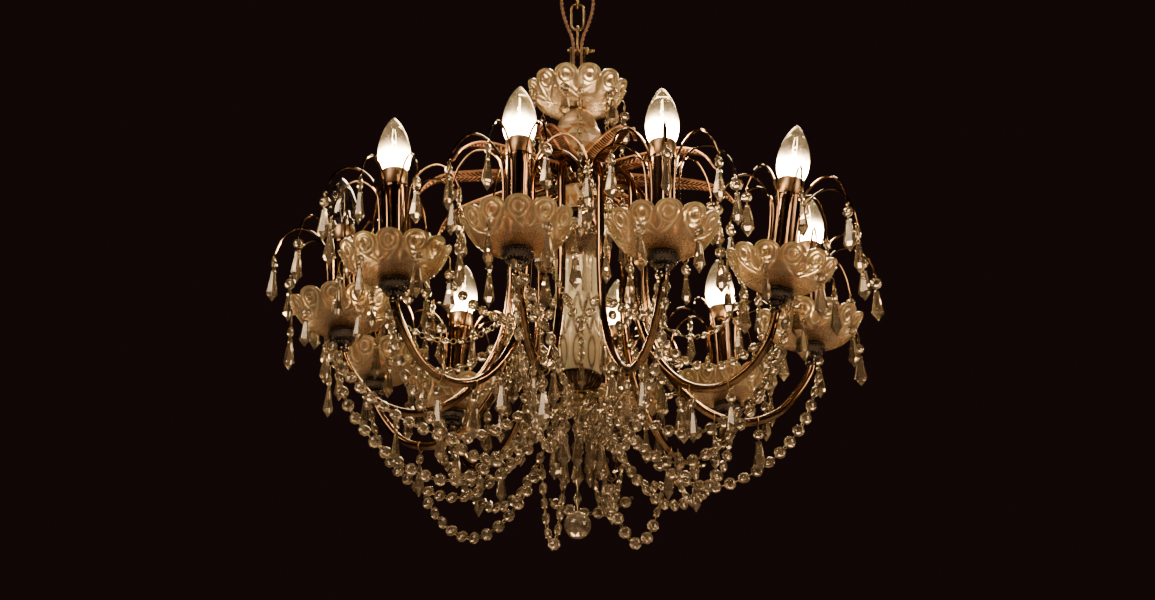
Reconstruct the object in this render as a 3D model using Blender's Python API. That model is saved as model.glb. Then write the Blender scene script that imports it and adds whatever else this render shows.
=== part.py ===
"""Crystal chandelier with ten candle lights on copper arms, hung by a short chain from a ceiling hook.

All sizes are in millimetres, and MM turns them into Blender's metres. Heights are measured from the cup plane, the
level of the ten drip cups. The ceiling plate's top face is at the world origin, CEILING above the cup plane.
Azimuths are in degrees from the front, -Y, towards +X.
"""

import math
from collections import namedtuple

import bmesh
import bpy
from mathutils import Matrix, Vector

MM = 0.001
GAP = 0.3  # clearance between pieces that touch
CEILING = 500.0  # the ceiling above the cup plane

# ceiling fitting, chain and yoke
PLATE_RADIUS = 15.0
PLATE_THICKNESS = 3.0
SCREW_RADIUS = 2.0
SCREW_SPACING = 20.0
ROSE_RADIUS = 52.0
HOOK_WIRE = 2.0
LINK_WIRE = 1.5
LINK_PITCH = 36.0
LINK_HALF_WIDTH = 7.5
BOLT_RADIUS = 2.3
BOLT_HEIGHT = 376.0
YOKE_INNER = 7.0
YOKE_THICKNESS = 2.0
YOKE_HALF_WIDTH = 4.0
YOKE_LIFT = 1.6  # of the foot above the bowl's floor, which slopes up from the stem
FLEX_RADIUS = 2.2

# centre stack, from the top bowl down to the base dish
STEM_RADIUS = 5.0
STEM_HOLE = STEM_RADIUS + 0.4
STEM_TOP = 302.0
STEM_BORE = 3.5
CAP_TOP = 293.0
BALL_TOP = 267.0
CANOPY_TOP = 236.0
HUB_TOP = 204.0
HUB_HEIGHT = 10.0
HUB_RADIUS = 30.0
NECK_TOP = 163.0
VASE_TOP = 122.0
VASE_BOTTOM = -38.0
DISH_BOTTOM = -60.0
EYE_RADIUS = 4.0
EYE_WIRE = 1.1
EYE_HEIGHT = -77.0

# lights
RING_RADIUS = 260.0  # of the circle through the ten candles
TUBE_RADIUS = 4.5
ARM_BOTTOM = -92.0
CUP_RADIUS = 16.5
CUP_DEPTH = 17.0
SLEEVE_RADIUS = 13.75
SLEEVE_TOP = 123.0
SLEEVE_WALL = 1.0
HOLDER_BORE = 7.5
HOLDER_FLOOR = 86.0
LAMP_TIP = 186.0
LAMP_RADIUS = 17.5
LAMP_CAP = 7.0
CANDLE_SIDES = 8
BOWL_RADIUS = 56.0
BOWL_DEPTH = 34.0
BOWL_WALL = 3.0
LOBES = 12
SPRAY_WIRES = 8
SPRAY_REACH = 75.0
SPRAY_PEAK = 120.0
SPRAY_END = 88.0
WIRE_HALF = 0.9
DROP_LENGTH = 54.0

# leaves and beads
LEAF_LENGTH = 188.0
LEAF_WIDTH = 26.0
LEAF_THICKNESS = 1.6
BEAD_RING_OUTER = 36.0
BEAD_RING_INNER = 28.0
BEAD_RING_SIDES = 24
BEAD_HALF = 3.0
BALL_RADIUS = 15.0
BALL_HEIGHT = -209.0

Light = namedtuple("Light", "azimuth lean spray_turn")
LIGHTS = (  # candle azimuth, its lean outwards, and the bearing of a spray wire from +X
    Light(-13.5, 0.0, 22.5),
    Light(19.0, 1.5, 0.0),
    Light(53.4, 10.0, 5.0),
    Light(90.0, 1.5, 0.0),
    Light(136.0, -3.0, 10.0),
    Light(168.0, -4.0, 1.5),
    Light(-145.0, -6.0, 15.8),
    Light(-116.0, 0.0, 15.8),
    Light(-81.0, 3.0, 12.0),
    Light(-46.7, 3.0, 22.5),
)
Loop = namedtuple("Loop", "start end reach depth")
LOOPS = (  # hanging bead loops: faces of the bead ring that they hang from, reach and lowest height
    Loop(17, 20, 106.0, -232.0),
    Loop(22, 0, 62.0, -236.0),
    Loop(2, 5, 72.0, -236.0),
    Loop(7, 10, 70.0, -215.0),
    Loop(12, 13, 64.0, -225.0),
)


# ---------------------------------------------------------------- helpers


def clear_scene():
    for item in list(bpy.data.objects):
        bpy.data.objects.remove(item, do_unlink=True)


def make_material(name, colour, roughness, metallic=0.0, transmission=0.0):
    material = bpy.data.materials.new(name)
    material.use_nodes = True
    shader = material.node_tree.nodes["Principled BSDF"]
    shader.inputs["Base Color"].default_value = (*colour, 1.0)
    shader.inputs["Roughness"].default_value = roughness
    shader.inputs["Metallic"].default_value = metallic
    shader.inputs["Transmission Weight"].default_value = transmission
    return material


def bearing(azimuth):
    """Unit vector along an azimuth."""
    angle = math.radians(azimuth)
    return Vector((math.sin(angle), -math.cos(angle), 0.0))


def add_empty(name, parent, height):
    """Empty on the centre line, at a height in millimetres above its parent."""
    empty = bpy.data.objects.new(name, None)
    empty.parent = parent
    empty.location = (0, 0, height * MM)
    bpy.context.scene.collection.objects.link(empty)
    return empty


def add_object(name, bm, material, origin=(0, 0, 0), guide=False, parent=None):
    """Object with its origin at a point given in millimetres. It hangs from the yoke's pivot unless a parent is
    given."""
    bmesh.ops.recalc_face_normals(bm, faces=bm.faces)
    origin = Vector(origin)
    bm.transform(Matrix.Scale(MM, 4) @ Matrix.Translation(-origin))
    mesh = bpy.data.meshes.new(name)
    bm.to_mesh(mesh)
    bm.free()
    mesh.shade_smooth()
    mesh.set_sharp_from_angle(angle=math.radians(40))
    mesh.materials.append(material)
    item = bpy.data.objects.new(name, mesh)
    bpy.context.scene.collection.objects.link(item)
    item.parent = parent or yoke_pivot
    item.location = (origin - Vector((0, 0, 0 if parent else BOLT_HEIGHT))) * MM
    if guide:
        item.hide_render = True
        item.display_type = "WIRE"
    return item


def add_boolean(item, guide, operation):
    modifier = item.modifiers.new(guide.name, "BOOLEAN")
    modifier.operation = operation
    modifier.solver = "EXACT"
    modifier.object = guide


def loft(bm, rings, closed=False):
    """Skins rings of vertices, and caps both ends unless the last ring meets the first."""
    count = len(rings[0])
    pairs = list(zip(rings, rings[1:]))
    if closed:
        pairs.append((rings[-1], rings[0]))
    for lower, upper in pairs:
        for i in range(count):
            j = (i + 1) % count
            bm.faces.new((lower[i], lower[j], upper[j], upper[i]))
    if not closed:
        bm.faces.new(list(reversed(rings[0])))
        bm.faces.new(rings[-1])


def ring(bm, centre, axis, radius, sides, reference=None):
    """Ring of vertices about a centre, square to an axis."""
    axis = Vector(axis).normalized()
    reference = Vector(reference) if reference else Vector((0, 1, 0))
    across = axis.cross(reference).normalized()
    along = across.cross(axis).normalized()
    turn = [math.tau * (i + 0.5) / sides for i in range(sides)]
    return [
        bm.verts.new(Vector(centre) + radius * (math.cos(t) * along + math.sin(t) * across))
        for t in turn
    ]


def directions(points):
    """Unit direction at each point of a path."""
    result = []
    for i in range(len(points)):
        before = points[max(i - 1, 0)]
        after = points[min(i + 1, len(points) - 1)]
        result.append((after - before).normalized())
    return result


def turned(outline, sides, waves=None):
    """Solid of revolution about Z of a closed (radius, height) outline. An outline that starts and ends at radius 0
    closes on the axis. waves(radius, height, step) may change a point to scallop or flute the solid."""
    bm = bmesh.new()
    columns = []
    for step in range(sides):
        angle = math.tau * step / sides
        column = []
        for radius, height in outline:
            if radius == 0:
                column.append(None)
                continue
            r, h = waves(radius, height, step) if waves else (radius, height)
            column.append(bm.verts.new((r * math.cos(angle), r * math.sin(angle), h)))
        columns.append(column)
    poles = {i: bm.verts.new((0, 0, h)) for i, (r, h) in enumerate(outline) if r == 0}
    on_axis = bool(poles)
    for step in range(sides):
        here, after = columns[step], columns[(step + 1) % sides]
        last = len(outline) - 1 if on_axis else len(outline)
        for i in range(last):
            j = (i + 1) % len(outline)
            corners = [
                here[i] or poles[i], after[i] or poles[i],
                after[j] or poles[j], here[j] or poles[j],
            ]
            bm.faces.new(list(dict.fromkeys(corners)))
    return bm


def tube(points, radius, sides, reference=None):
    bm = bmesh.new()
    loft(bm, [ring(bm, p, d, radius, sides, reference) for p, d in zip(points, directions(points))])
    return bm


# ---------------------------------------------------------------- ceiling, chain and yoke


def make_ceiling_rose():
    """Dome-shaped sheet-metal cover with a hole for the chain and the flex."""
    lip, sheet = 14.0, 1.6
    outline = (
        (ROSE_RADIUS, CEILING - GAP), (ROSE_RADIUS, 493), (40, 480), (lip, 470), (lip, 470 + sheet), (39, 482),
        (ROSE_RADIUS - sheet, 494), (ROSE_RADIUS - sheet, CEILING - GAP),
    )
    add_object("ceiling_rose", turned(outline, 16), brass, parent=cup_plane)


def hook_bottom():
    """Height of the middle of the hook's wire at its lowest point."""
    return link_heights()[0][1] - HOOK_WIRE - LINK_WIRE - GAP


def link_heights():
    """(bottom, top) wire middles of the upper and the lower link, which hang one in the other above the bolt."""
    lower_bottom = BOLT_HEIGHT - BOLT_RADIUS - LINK_WIRE - GAP
    lower_top = lower_bottom + LINK_PITCH
    upper_bottom = lower_top - 2 * LINK_WIRE - GAP
    return (upper_bottom, upper_bottom + LINK_PITCH), (lower_bottom, lower_top)


def make_ceiling_hook():
    bottom = CEILING - PLATE_THICKNESS
    plate = add_object(
        "ceiling_hook",
        turned(((0, bottom), (PLATE_RADIUS, bottom), (PLATE_RADIUS, CEILING), (0, CEILING)), 16),
        brass, parent=cup_plane,
    )
    curve = 7.0
    low = hook_bottom()
    route = [(0, 0, CEILING - 1), (0, 0, low + 22), (0, 4, low + 15)]
    for degrees in (10, -30, -60, -90, -120, -150, -190):
        angle = math.radians(degrees)
        route.append((0, curve * math.cos(angle), low + curve + curve * math.sin(angle)))
    points = [Vector(p) for p in route]
    wire = add_object("hook_wire", tube(points, HOOK_WIRE, 6, (1, 0, 0)), brass, guide=True, parent=cup_plane)
    add_boolean(plate, wire, "UNION")
    for side in (-1, 1):
        low, high = bottom - 2, CEILING + 2
        hole = turned(((0, low), (SCREW_RADIUS, low), (SCREW_RADIUS, high), (0, high)), 8)
        bmesh.ops.translate(hole, verts=hole.verts, vec=(SCREW_SPACING / 2 * side, 0, 0))
        name = "screw_hole_left" if side < 0 else "screw_hole_right"
        add_boolean(plate, add_object(name, hole, brass, guide=True, parent=cup_plane), "DIFFERENCE")


def make_link(name, heights, edge_on):
    """Chain link: a wire bent to a stadium. edge_on links lie in the YZ plane."""
    bottom, top = heights
    bm = bmesh.new()
    turns = 6
    rings = []
    across = Vector((0, 1, 0)) if edge_on else Vector((1, 0, 0))
    square = Vector((1, 0, 0)) if edge_on else Vector((0, 1, 0))
    for centre, start in ((top - LINK_HALF_WIDTH, 0), (bottom + LINK_HALF_WIDTH, 180)):
        for i in range(turns + 1):
            angle = math.radians(start + 180 * i / turns)
            out = math.cos(angle) * across + Vector((0, 0, math.sin(angle)))
            place = Vector((0, 0, centre)) + LINK_HALF_WIDTH * out
            rings.append(ring(bm, place, out.cross(square), LINK_WIRE, 6, square))
    loft(bm, rings, closed=True)
    pivot = (0, 0, link_heights()[0][0] if edge_on else hook_bottom())
    add_object(name, bm, brass, pivot, parent=cup_plane)


def make_yoke():
    """Two legs on a round foot that screws onto the stem. The bolt goes through both legs."""
    foot_low = CAP_TOP + BOWL_WALL + YOKE_LIFT
    foot_high, foot_radius = foot_low + 2.6, 11.0
    outline = (
        (STEM_HOLE, foot_low), (foot_radius, foot_low), (foot_radius, foot_high), (STEM_HOLE, foot_high),
    )
    yoke = add_object("hanger_yoke", turned(outline, 16), brass, (0, 0, BOLT_HEIGHT))
    for side in (-1, 1):
        bm = bmesh.new()
        edge = [(-YOKE_HALF_WIDTH, foot_low + 1), (YOKE_HALF_WIDTH, foot_low + 1)]
        for i in range(7):
            angle = math.pi * i / 6
            edge.append((YOKE_HALF_WIDTH * math.cos(angle), BOLT_HEIGHT + YOKE_HALF_WIDTH * math.sin(angle)))
        rings = [
            [bm.verts.new((side * x, y, h)) for y, h in edge]
            for x in (YOKE_INNER, YOKE_INNER + YOKE_THICKNESS)
        ]
        loft(bm, rings)
        name = "yoke_leg_left" if side < 0 else "yoke_leg_right"
        add_boolean(yoke, add_object(name, bm, brass, guide=True), "UNION")
    hole = along_x(turned(((0, -15), (2.8, -15), (2.8, 15), (0, 15)), 10))
    add_boolean(yoke, add_object("yoke_bolt_hole", hole, brass, guide=True), "DIFFERENCE")


def along_x(bm):
    """Lays a solid turned about Z along X, at the bolt's height."""
    bm.transform(Matrix.Translation((0, 0, BOLT_HEIGHT)) @ Matrix.Rotation(math.pi / 2, 4, "Y"))
    return bm


def make_yoke_bolt():
    """Thumb screw: its shaft crosses both legs and its head stands at the right."""
    face = YOKE_INNER + YOKE_THICKNESS + GAP
    outline = (
        (0, -12), (BOLT_RADIUS, -12), (BOLT_RADIUS, face), (4.2, face), (4.2, face + 3.2),
        (1.8, face + 4.2), (1.8, face + 11), (0, face + 11),
    )
    add_object("yoke_bolt", along_x(turned(outline, 10)), brass, (0, 0, BOLT_HEIGHT))


def make_supply_flex():
    """Two strands that leave the stem together and rise on either side of the chain into the ceiling rose."""
    half_route = (
        (1.1, 0.0, 298), (1.6, -0.8, 306), (3.6, -5.0, 325), (4.8, -7.4, 350), (4.8, -7.4, 376),
        (7.0, -6.5, 392), (12.5, -5.2, 408), (17.0, -4.5, 425), (19.0, -4.5, 442),
        (15.0, -4.5, 458), (8.0, -4.0, 472), (7.0, -3.5, 486),
    )
    strands = []
    for side in (-1, 1):
        points = [Vector((side * x, y + 0.2 * side, h)) for x, y, h in half_route]
        bm = bmesh.new()
        rings = []
        for p, d in zip(points, directions(points)):
            radius = 1.5 if p.z < 303 else FLEX_RADIUS
            rings.append(ring(bm, p, d, radius, 6))
        loft(bm, rings)
        name = "supply_flex" if side < 0 else "flex_strand_right"
        strands.append(add_object(name, bm, flex_brown, guide=side > 0))
    add_boolean(strands[0], strands[1], "UNION")


# ---------------------------------------------------------------- centre stack


def make_stem():
    eye_top = EYE_HEIGHT + EYE_RADIUS - 1
    outline = (
        (0, STEM_TOP - 40), (STEM_BORE, STEM_TOP - 40), (STEM_BORE, STEM_TOP), (STEM_RADIUS, STEM_TOP),
        (STEM_RADIUS, DISH_BOTTOM - GAP), (8, DISH_BOTTOM - GAP), (8, DISH_BOTTOM - 6), (2.5, eye_top), (0, eye_top),
    )
    stem = add_object("stem", turned(outline, 12), brass)
    eye = wire_eye(EYE_HEIGHT, Vector((1, 0, 0)))
    add_boolean(stem, add_object("stem_eye", eye, brass, guide=True), "UNION")


def wire_eye(height, across):
    """Closed ring of wire about a point of the axis, in the vertical plane that holds across."""
    bm = bmesh.new()
    square = across.cross(Vector((0, 0, 1)))
    rings = []
    for i in range(10):
        angle = math.tau * i / 10
        out = math.cos(angle) * across + Vector((0, 0, math.sin(angle)))
        rings.append(ring(bm, Vector((0, 0, height)) + EYE_RADIUS * out, out.cross(square), EYE_WIRE, 5, square))
    loft(bm, rings, closed=True)
    return bm


def bowl_outline(hole, base):
    """Pressed-glass bowl about its own foot: outside from the foot to the rim, then back inside."""
    rim = base + BOWL_DEPTH
    return (
        (hole, base), (40, base + 6), (BOWL_RADIUS, rim),
        (BOWL_RADIUS - BOWL_WALL, rim), (38, base + 9), (hole, base + BOWL_WALL),
    )


def scalloped(radius, height, step):
    """Rim of twelve lobes: the points between two lobes are lower and further in."""
    if radius > 50 and step % 2 == 1:
        return radius - 2.5, height - 6
    return radius, height


def make_top_bowl():
    add_object("top_bowl", turned(bowl_outline(STEM_HOLE, CAP_TOP + GAP / 2), 2 * LOBES, scalloped), pressed_glass)


def make_ball_cap():
    outline = (
        (STEM_HOLE, BALL_TOP + GAP), (24, BALL_TOP + GAP), (23, 276), (18, 286),
        (12, CAP_TOP - GAP / 2), (STEM_HOLE, CAP_TOP - GAP / 2),
    )
    add_object("ball_cap", turned(outline, 14), satin_brass)


def make_glass_ball():
    outline = (
        (STEM_HOLE, CANOPY_TOP + GAP), (19, CANOPY_TOP + GAP), (27, 242), (31, 252),
        (30, 260), (26, BALL_TOP), (STEM_HOLE, BALL_TOP),
    )
    add_object("glass_ball", turned(outline, 14), crystal)


def make_glass_canopy():
    """Umbrella-shaped glass that covers the hub."""
    outline = (
        (STEM_HOLE, 224), (18, 223), (27, 216), (31, 210), (34, 210),
        (31, 220), (22, 230), (14, CANOPY_TOP), (STEM_HOLE, CANOPY_TOP),
    )
    add_object("glass_canopy", turned(outline, 14), crystal)


def make_leaf_crown():
    """Ring on the hub with a leaf over each arm: it rises, arches over and droops outwards."""
    bm = bmesh.new()
    low, high = HUB_TOP + GAP, HUB_TOP + GAP + LEAF_THICKNESS
    sides = 2 * len(LIGHTS)
    azimuths = []
    for light, after in zip(LIGHTS, LIGHTS[1:] + LIGHTS[:1]):
        step = (after.azimuth - light.azimuth) % 360
        azimuths += [light.azimuth - 7, light.azimuth + 7] if step else []
    inner, outer = STEM_HOLE, 24.0
    columns = []
    for azimuth in azimuths:
        out = bearing(azimuth)
        columns.append([bm.verts.new(r * out + Vector((0, 0, h)))
                        for r, h in ((inner, low), (outer, low), (outer, high), (inner, high))])
    for i in range(sides):
        here, after = columns[i], columns[(i + 1) % sides]
        for a, b in ((0, 1), (2, 3), (3, 0)):
            bm.faces.new((here[a], here[b], after[b], after[a]))
        if i % 2 == 1:
            bm.faces.new((here[1], here[2], after[2], after[1]))
    stations = (  # distance out, height of the underside, share of the full width
        (40, 206.5, 0.35), (70, 203, 0.8), (110, 199.5, 1.0), (150, 194.5, 0.95), (LEAF_LENGTH, 162, 0.15),
    )
    for number, light in enumerate(LIGHTS):
        out = bearing(light.azimuth)
        side = Vector((-out.y, out.x, 0))
        start, end = columns[2 * number], columns[2 * number + 1]
        rings = [[start[1], end[1], end[2], start[2]]]
        for r, h, share in stations:
            half = LEAF_WIDTH * share / 2
            foot = r * out + Vector((0, 0, h))
            up = Vector((0, 0, LEAF_THICKNESS))
            rings.append([bm.verts.new(foot - half * side), bm.verts.new(foot + half * side),
                          bm.verts.new(foot + half * side + up), bm.verts.new(foot - half * side + up)])
        for lower, upper in zip(rings, rings[1:]):
            for i in range(4):
                j = (i + 1) % 4
                bm.faces.new((lower[i], lower[j], upper[j], upper[i]))
        bm.faces.new(rings[-1])
    add_object("leaf_crown", bm, copper)


def make_arm_hub():
    low = HUB_TOP - HUB_HEIGHT
    outline = (
        (STEM_HOLE, low), (HUB_RADIUS - 3, low), (HUB_RADIUS, low + 2), (HUB_RADIUS, HUB_TOP), (STEM_HOLE, HUB_TOP),
    )
    add_object("arm_hub", turned(outline, 20), bronze)


def make_column_bell():
    top = HUB_TOP - HUB_HEIGHT - GAP
    outline = (
        (STEM_HOLE, NECK_TOP + GAP), (13, NECK_TOP + GAP), (14, 168), (18, 178),
        (19.5, 187), (16, top), (STEM_HOLE, top),
    )
    add_object("column_bell", turned(outline, 14), crystal)


def make_vase_collar():
    outline = (
        (STEM_HOLE, VASE_TOP + GAP), (21, VASE_TOP + GAP), (21, 136), (22, 138), (13, 140), (9.5, 144),
        (9.5, 153), (17, 157), (19, 160), (17, NECK_TOP), (STEM_HOLE, NECK_TOP),
    )
    add_object("vase_collar", turned(outline, 14), bronze)


def make_centre_vase():
    """Open glass vase with a flared mouth and a waist. The stem goes through its thick floor."""
    outline = (
        (STEM_HOLE, VASE_BOTTOM), (27, VASE_BOTTOM), (28, 8), (25, 50), (27, 98),
        (39.5, VASE_TOP - 1), (36.5, VASE_TOP - 1), (24, 98), (21.5, 50), (24.5, 8), (24, -28),
        (STEM_HOLE, -28),
    )
    add_object("centre_vase", turned(outline, 14), crystal)


def make_base_dish():
    def fluted(radius, height, step):
        return (radius - 1.5, height) if radius > 15 and step % 2 else (radius, height)

    outline = (
        (STEM_HOLE, DISH_BOTTOM), (8, DISH_BOTTOM), (20, -52), (27.5, VASE_BOTTOM - GAP - 2),
        (27.5, VASE_BOTTOM - GAP), (STEM_HOLE, VASE_BOTTOM - GAP),
    )
    add_object("base_dish", turned(outline, 20, fluted), bronze)


def make_bead_garland():
    """Ring under the base dish with a bead string out to each arm's end and loops that hang below. Each string
    grows from a side face of the ring."""
    bm = bmesh.new()
    top, bottom = DISH_BOTTOM - 4, DISH_BOTTOM - 10
    step = 360 / BEAD_RING_SIDES
    columns = []
    for i in range(BEAD_RING_SIDES):
        out = bearing(step * (i - 0.5))
        columns.append([bm.verts.new(r * out + Vector((0, 0, h))) for r, h in (
            (BEAD_RING_INNER, bottom), (BEAD_RING_OUTER, bottom), (BEAD_RING_OUTER, top), (BEAD_RING_INNER, top))])
    string_faces = {round(light.azimuth / step) % BEAD_RING_SIDES: light for light in LIGHTS}
    loop_faces = {face for loop in LOOPS for face in (loop.start, loop.end)}
    for i in range(BEAD_RING_SIDES):
        here, after = columns[i], columns[(i + 1) % BEAD_RING_SIDES]
        for a, b in ((0, 1), (2, 3), (3, 0)):
            bm.faces.new((here[a], here[b], after[b], after[a]))
        if i not in string_faces and i not in loop_faces:
            bm.faces.new((here[1], here[2], after[2], after[1]))

    def face_ring(face):
        here, after = columns[face], columns[(face + 1) % BEAD_RING_SIDES]
        return [here[1], after[1], after[2], here[2]]

    def square_ring(centre, direction, side):
        up = side.cross(direction).normalized()
        return [bm.verts.new(centre + BEAD_HALF * (a * side + b * up))
                for a, b in ((-1, -1), (1, -1), (1, 1), (-1, 1))]

    def skin(rings):
        for lower, upper in zip(rings, rings[1:]):
            for i in range(4):
                j = (i + 1) % 4
                bm.faces.new((lower[i], lower[j], upper[j], upper[i]))

    drape = (
        (48, -92), (90, -152), (142, -180), (200, -154), (248, -98), (RING_RADIUS + 13, -24),
    )
    for face, light in string_faces.items():
        out = bearing(light.azimuth)
        side = Vector((-out.y, out.x, 0))
        start = BEAD_RING_OUTER * bearing(step * face) + Vector((0, 0, (top + bottom) / 2))
        points = [start] + [r * out + Vector((0, 0, h)) for r, h in drape]
        rings = [face_ring(face)]
        rings += [square_ring(p, d, side) for p, d in list(zip(points, directions(points)))[1:]]
        skin(rings)
        bm.faces.new(rings[-1])

    for loop in LOOPS:
        span = (loop.end - loop.start) % BEAD_RING_SIDES
        middle = bearing(step * (loop.start + span / 2))
        ends = [BEAD_RING_OUTER * bearing(step * f) + Vector((0, 0, (top + bottom) / 2))
                for f in (loop.start, loop.end)]
        low = loop.reach * middle + Vector((0, 0, loop.depth))
        spread = Vector((-middle.y, middle.x, 0)) * (6 + 3 * span)
        route = [ends[0]]
        drop = loop.depth - bottom
        for share, reach_share in ((0.2, 0.25), (0.6, 0.7), (0.92, 0.95)):
            centre = (BEAD_RING_OUTER + 4 + (loop.reach - BEAD_RING_OUTER - 4) * reach_share) * middle
            width = spread * math.sqrt(max(0.0, 1 - share**2.5)) * 1.3
            route.append(centre - width + Vector((0, 0, bottom + drop * share)))
        route.append(low)
        for p in reversed(route[1:4]):
            across = Vector((-middle.y, middle.x, 0))
            route.append(p + 2 * across * ((low - p).dot(across)))
        route.append(ends[1])
        ways = directions(route)
        rings = [face_ring(loop.start)]
        for p, d in list(zip(route, ways))[1:-1]:
            side = d.cross(middle).normalized()
            corners = square_ring(p, d, side)
            rings.append(corners)
        last = face_ring(loop.end)
        rings.append([last[1], last[0], last[3], last[2]])
        aligned = [rings[0]]
        for corners in rings[1:]:
            previous = aligned[-1]
            best = min(
                ([corners[(k + turn * i) % 4] for i in range(4)] for k in range(4) for turn in (1, -1)),
                key=lambda c: sum((a.co - b.co).length for a, b in zip(previous, c)),
            )
            aligned.append(best)
        skin(aligned)
    bmesh.ops.triangulate(bm, faces=bm.faces)  # the strings twist, so their sides aren't flat
    add_object("bead_garland", bm, crystal)


def make_crystal_ball():
    """Faceted ball on a short string of beads that hangs by a wire loop in the stem's eye."""
    pivot = EYE_HEIGHT - EYE_RADIUS
    loop_height = pivot + 2 * EYE_WIRE + GAP - EYE_RADIUS
    string_top = loop_height - EYE_RADIUS
    outline = (
        (0, string_top), (1.5, string_top), (1.5, -150), (7, -157), (1.5, -164), (1.5, -172), (7, -179),
        (1.5, -186), (3, BALL_HEIGHT + BALL_RADIUS - 0.5), (11, BALL_HEIGHT + 10), (BALL_RADIUS, BALL_HEIGHT),
        (11, BALL_HEIGHT - 10), (0, BALL_HEIGHT - BALL_RADIUS),
    )
    ball = add_object("crystal_ball", turned(outline, 8), crystal, (0, 0, pivot))
    loop = wire_eye(loop_height, Vector((0, 1, 0)))
    add_boolean(ball, add_object("ball_loop", loop, crystal, guide=True), "UNION")


# ---------------------------------------------------------------- lights


def light_frame(light):
    """Matrix from a candle's own upright axes (X outwards) to its place on the ring, with its lean."""
    out = bearing(light.azimuth)
    turn = Matrix.Rotation(math.atan2(out.y, out.x), 4, "Z")
    lean = Matrix.Rotation(math.radians(light.lean), 4, "Y")
    return Matrix.Translation(RING_RADIUS * out) @ turn @ lean


def make_arm(number, light):
    """Copper tube from the hub, down, round and up to the drip cup, with the candle sleeve and the lamp holder's
    bore above the cup, as one lofted solid."""
    frame = light_frame(light)
    out = bearing(light.azimuth)
    side = Vector((-out.y, out.x, 0))
    axis = (frame.to_3x3() @ Vector((0, 0, 1))).normalized()
    base = frame @ Vector((0, 0, -CUP_DEPTH))
    neck = base - 13 * axis
    route = [(HUB_RADIUS + GAP, 199), (52, 199), (69, 191), (76, 172)]
    route += [(76, 60), (84, 5), (106, -42), (140, -78), (180, ARM_BOTTOM), (218, -82), (244, -56)]
    points = [r * out + Vector((0, 0, h)) for r, h in route] + [neck]
    bm = bmesh.new()
    rings = []
    for p, d in zip(points + [base], directions(points + [base])):
        if p != base:
            rings.append(ring(bm, p, d, TUBE_RADIUS, CANDLE_SIDES, side))
    inner = SLEEVE_RADIUS - SLEEVE_WALL
    candle = (  # height up the candle's axis and radius, outside to the rim and then down the bore
        (-CUP_DEPTH, 6), (-12, 12), (-5, CUP_RADIUS), (-GAP, CUP_RADIUS), (-GAP, SLEEVE_RADIUS),
        (SLEEVE_TOP, SLEEVE_RADIUS), (SLEEVE_TOP, inner), (114, inner), (112, HOLDER_BORE),
        (HOLDER_FLOOR, HOLDER_BORE),
    )
    for height, radius in candle:
        rings.append(ring(bm, frame @ Vector((0, 0, height)), axis, radius, CANDLE_SIDES, side))
    loft(bm, rings)
    add_object(f"arm_{number}", bm, copper)


def make_lamp(number, light):
    """Candle lamp: glass with its screw cap below, in the holder's bore."""
    frame = light_frame(light)
    out = bearing(light.azimuth)
    side = Vector((-out.y, out.x, 0))
    axis = (frame.to_3x3() @ Vector((0, 0, 1))).normalized()
    outline = (
        (HOLDER_FLOOR + GAP, 3.5), (HOLDER_FLOOR + 3, LAMP_CAP), (112, LAMP_CAP), (SLEEVE_TOP, 12),
        (134, 16), (146, LAMP_RADIUS), (158, 16), (173, 9.5), (LAMP_TIP, 0.8),
    )
    bm = bmesh.new()
    loft(bm, [ring(bm, frame @ Vector((0, 0, h)), axis, r, CANDLE_SIDES, side) for h, r in outline])
    add_object(f"lamp_{number}", bm, lamp_glass, frame @ Vector((0, 0, HOLDER_FLOOR)))


def make_bobeche(number, light):
    bm = turned(bowl_outline(SLEEVE_RADIUS + 0.6, 0), 2 * LOBES, scalloped)
    bm.transform(light_frame(light))
    add_object(f"bobeche_{number}", bm, pressed_glass)


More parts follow.
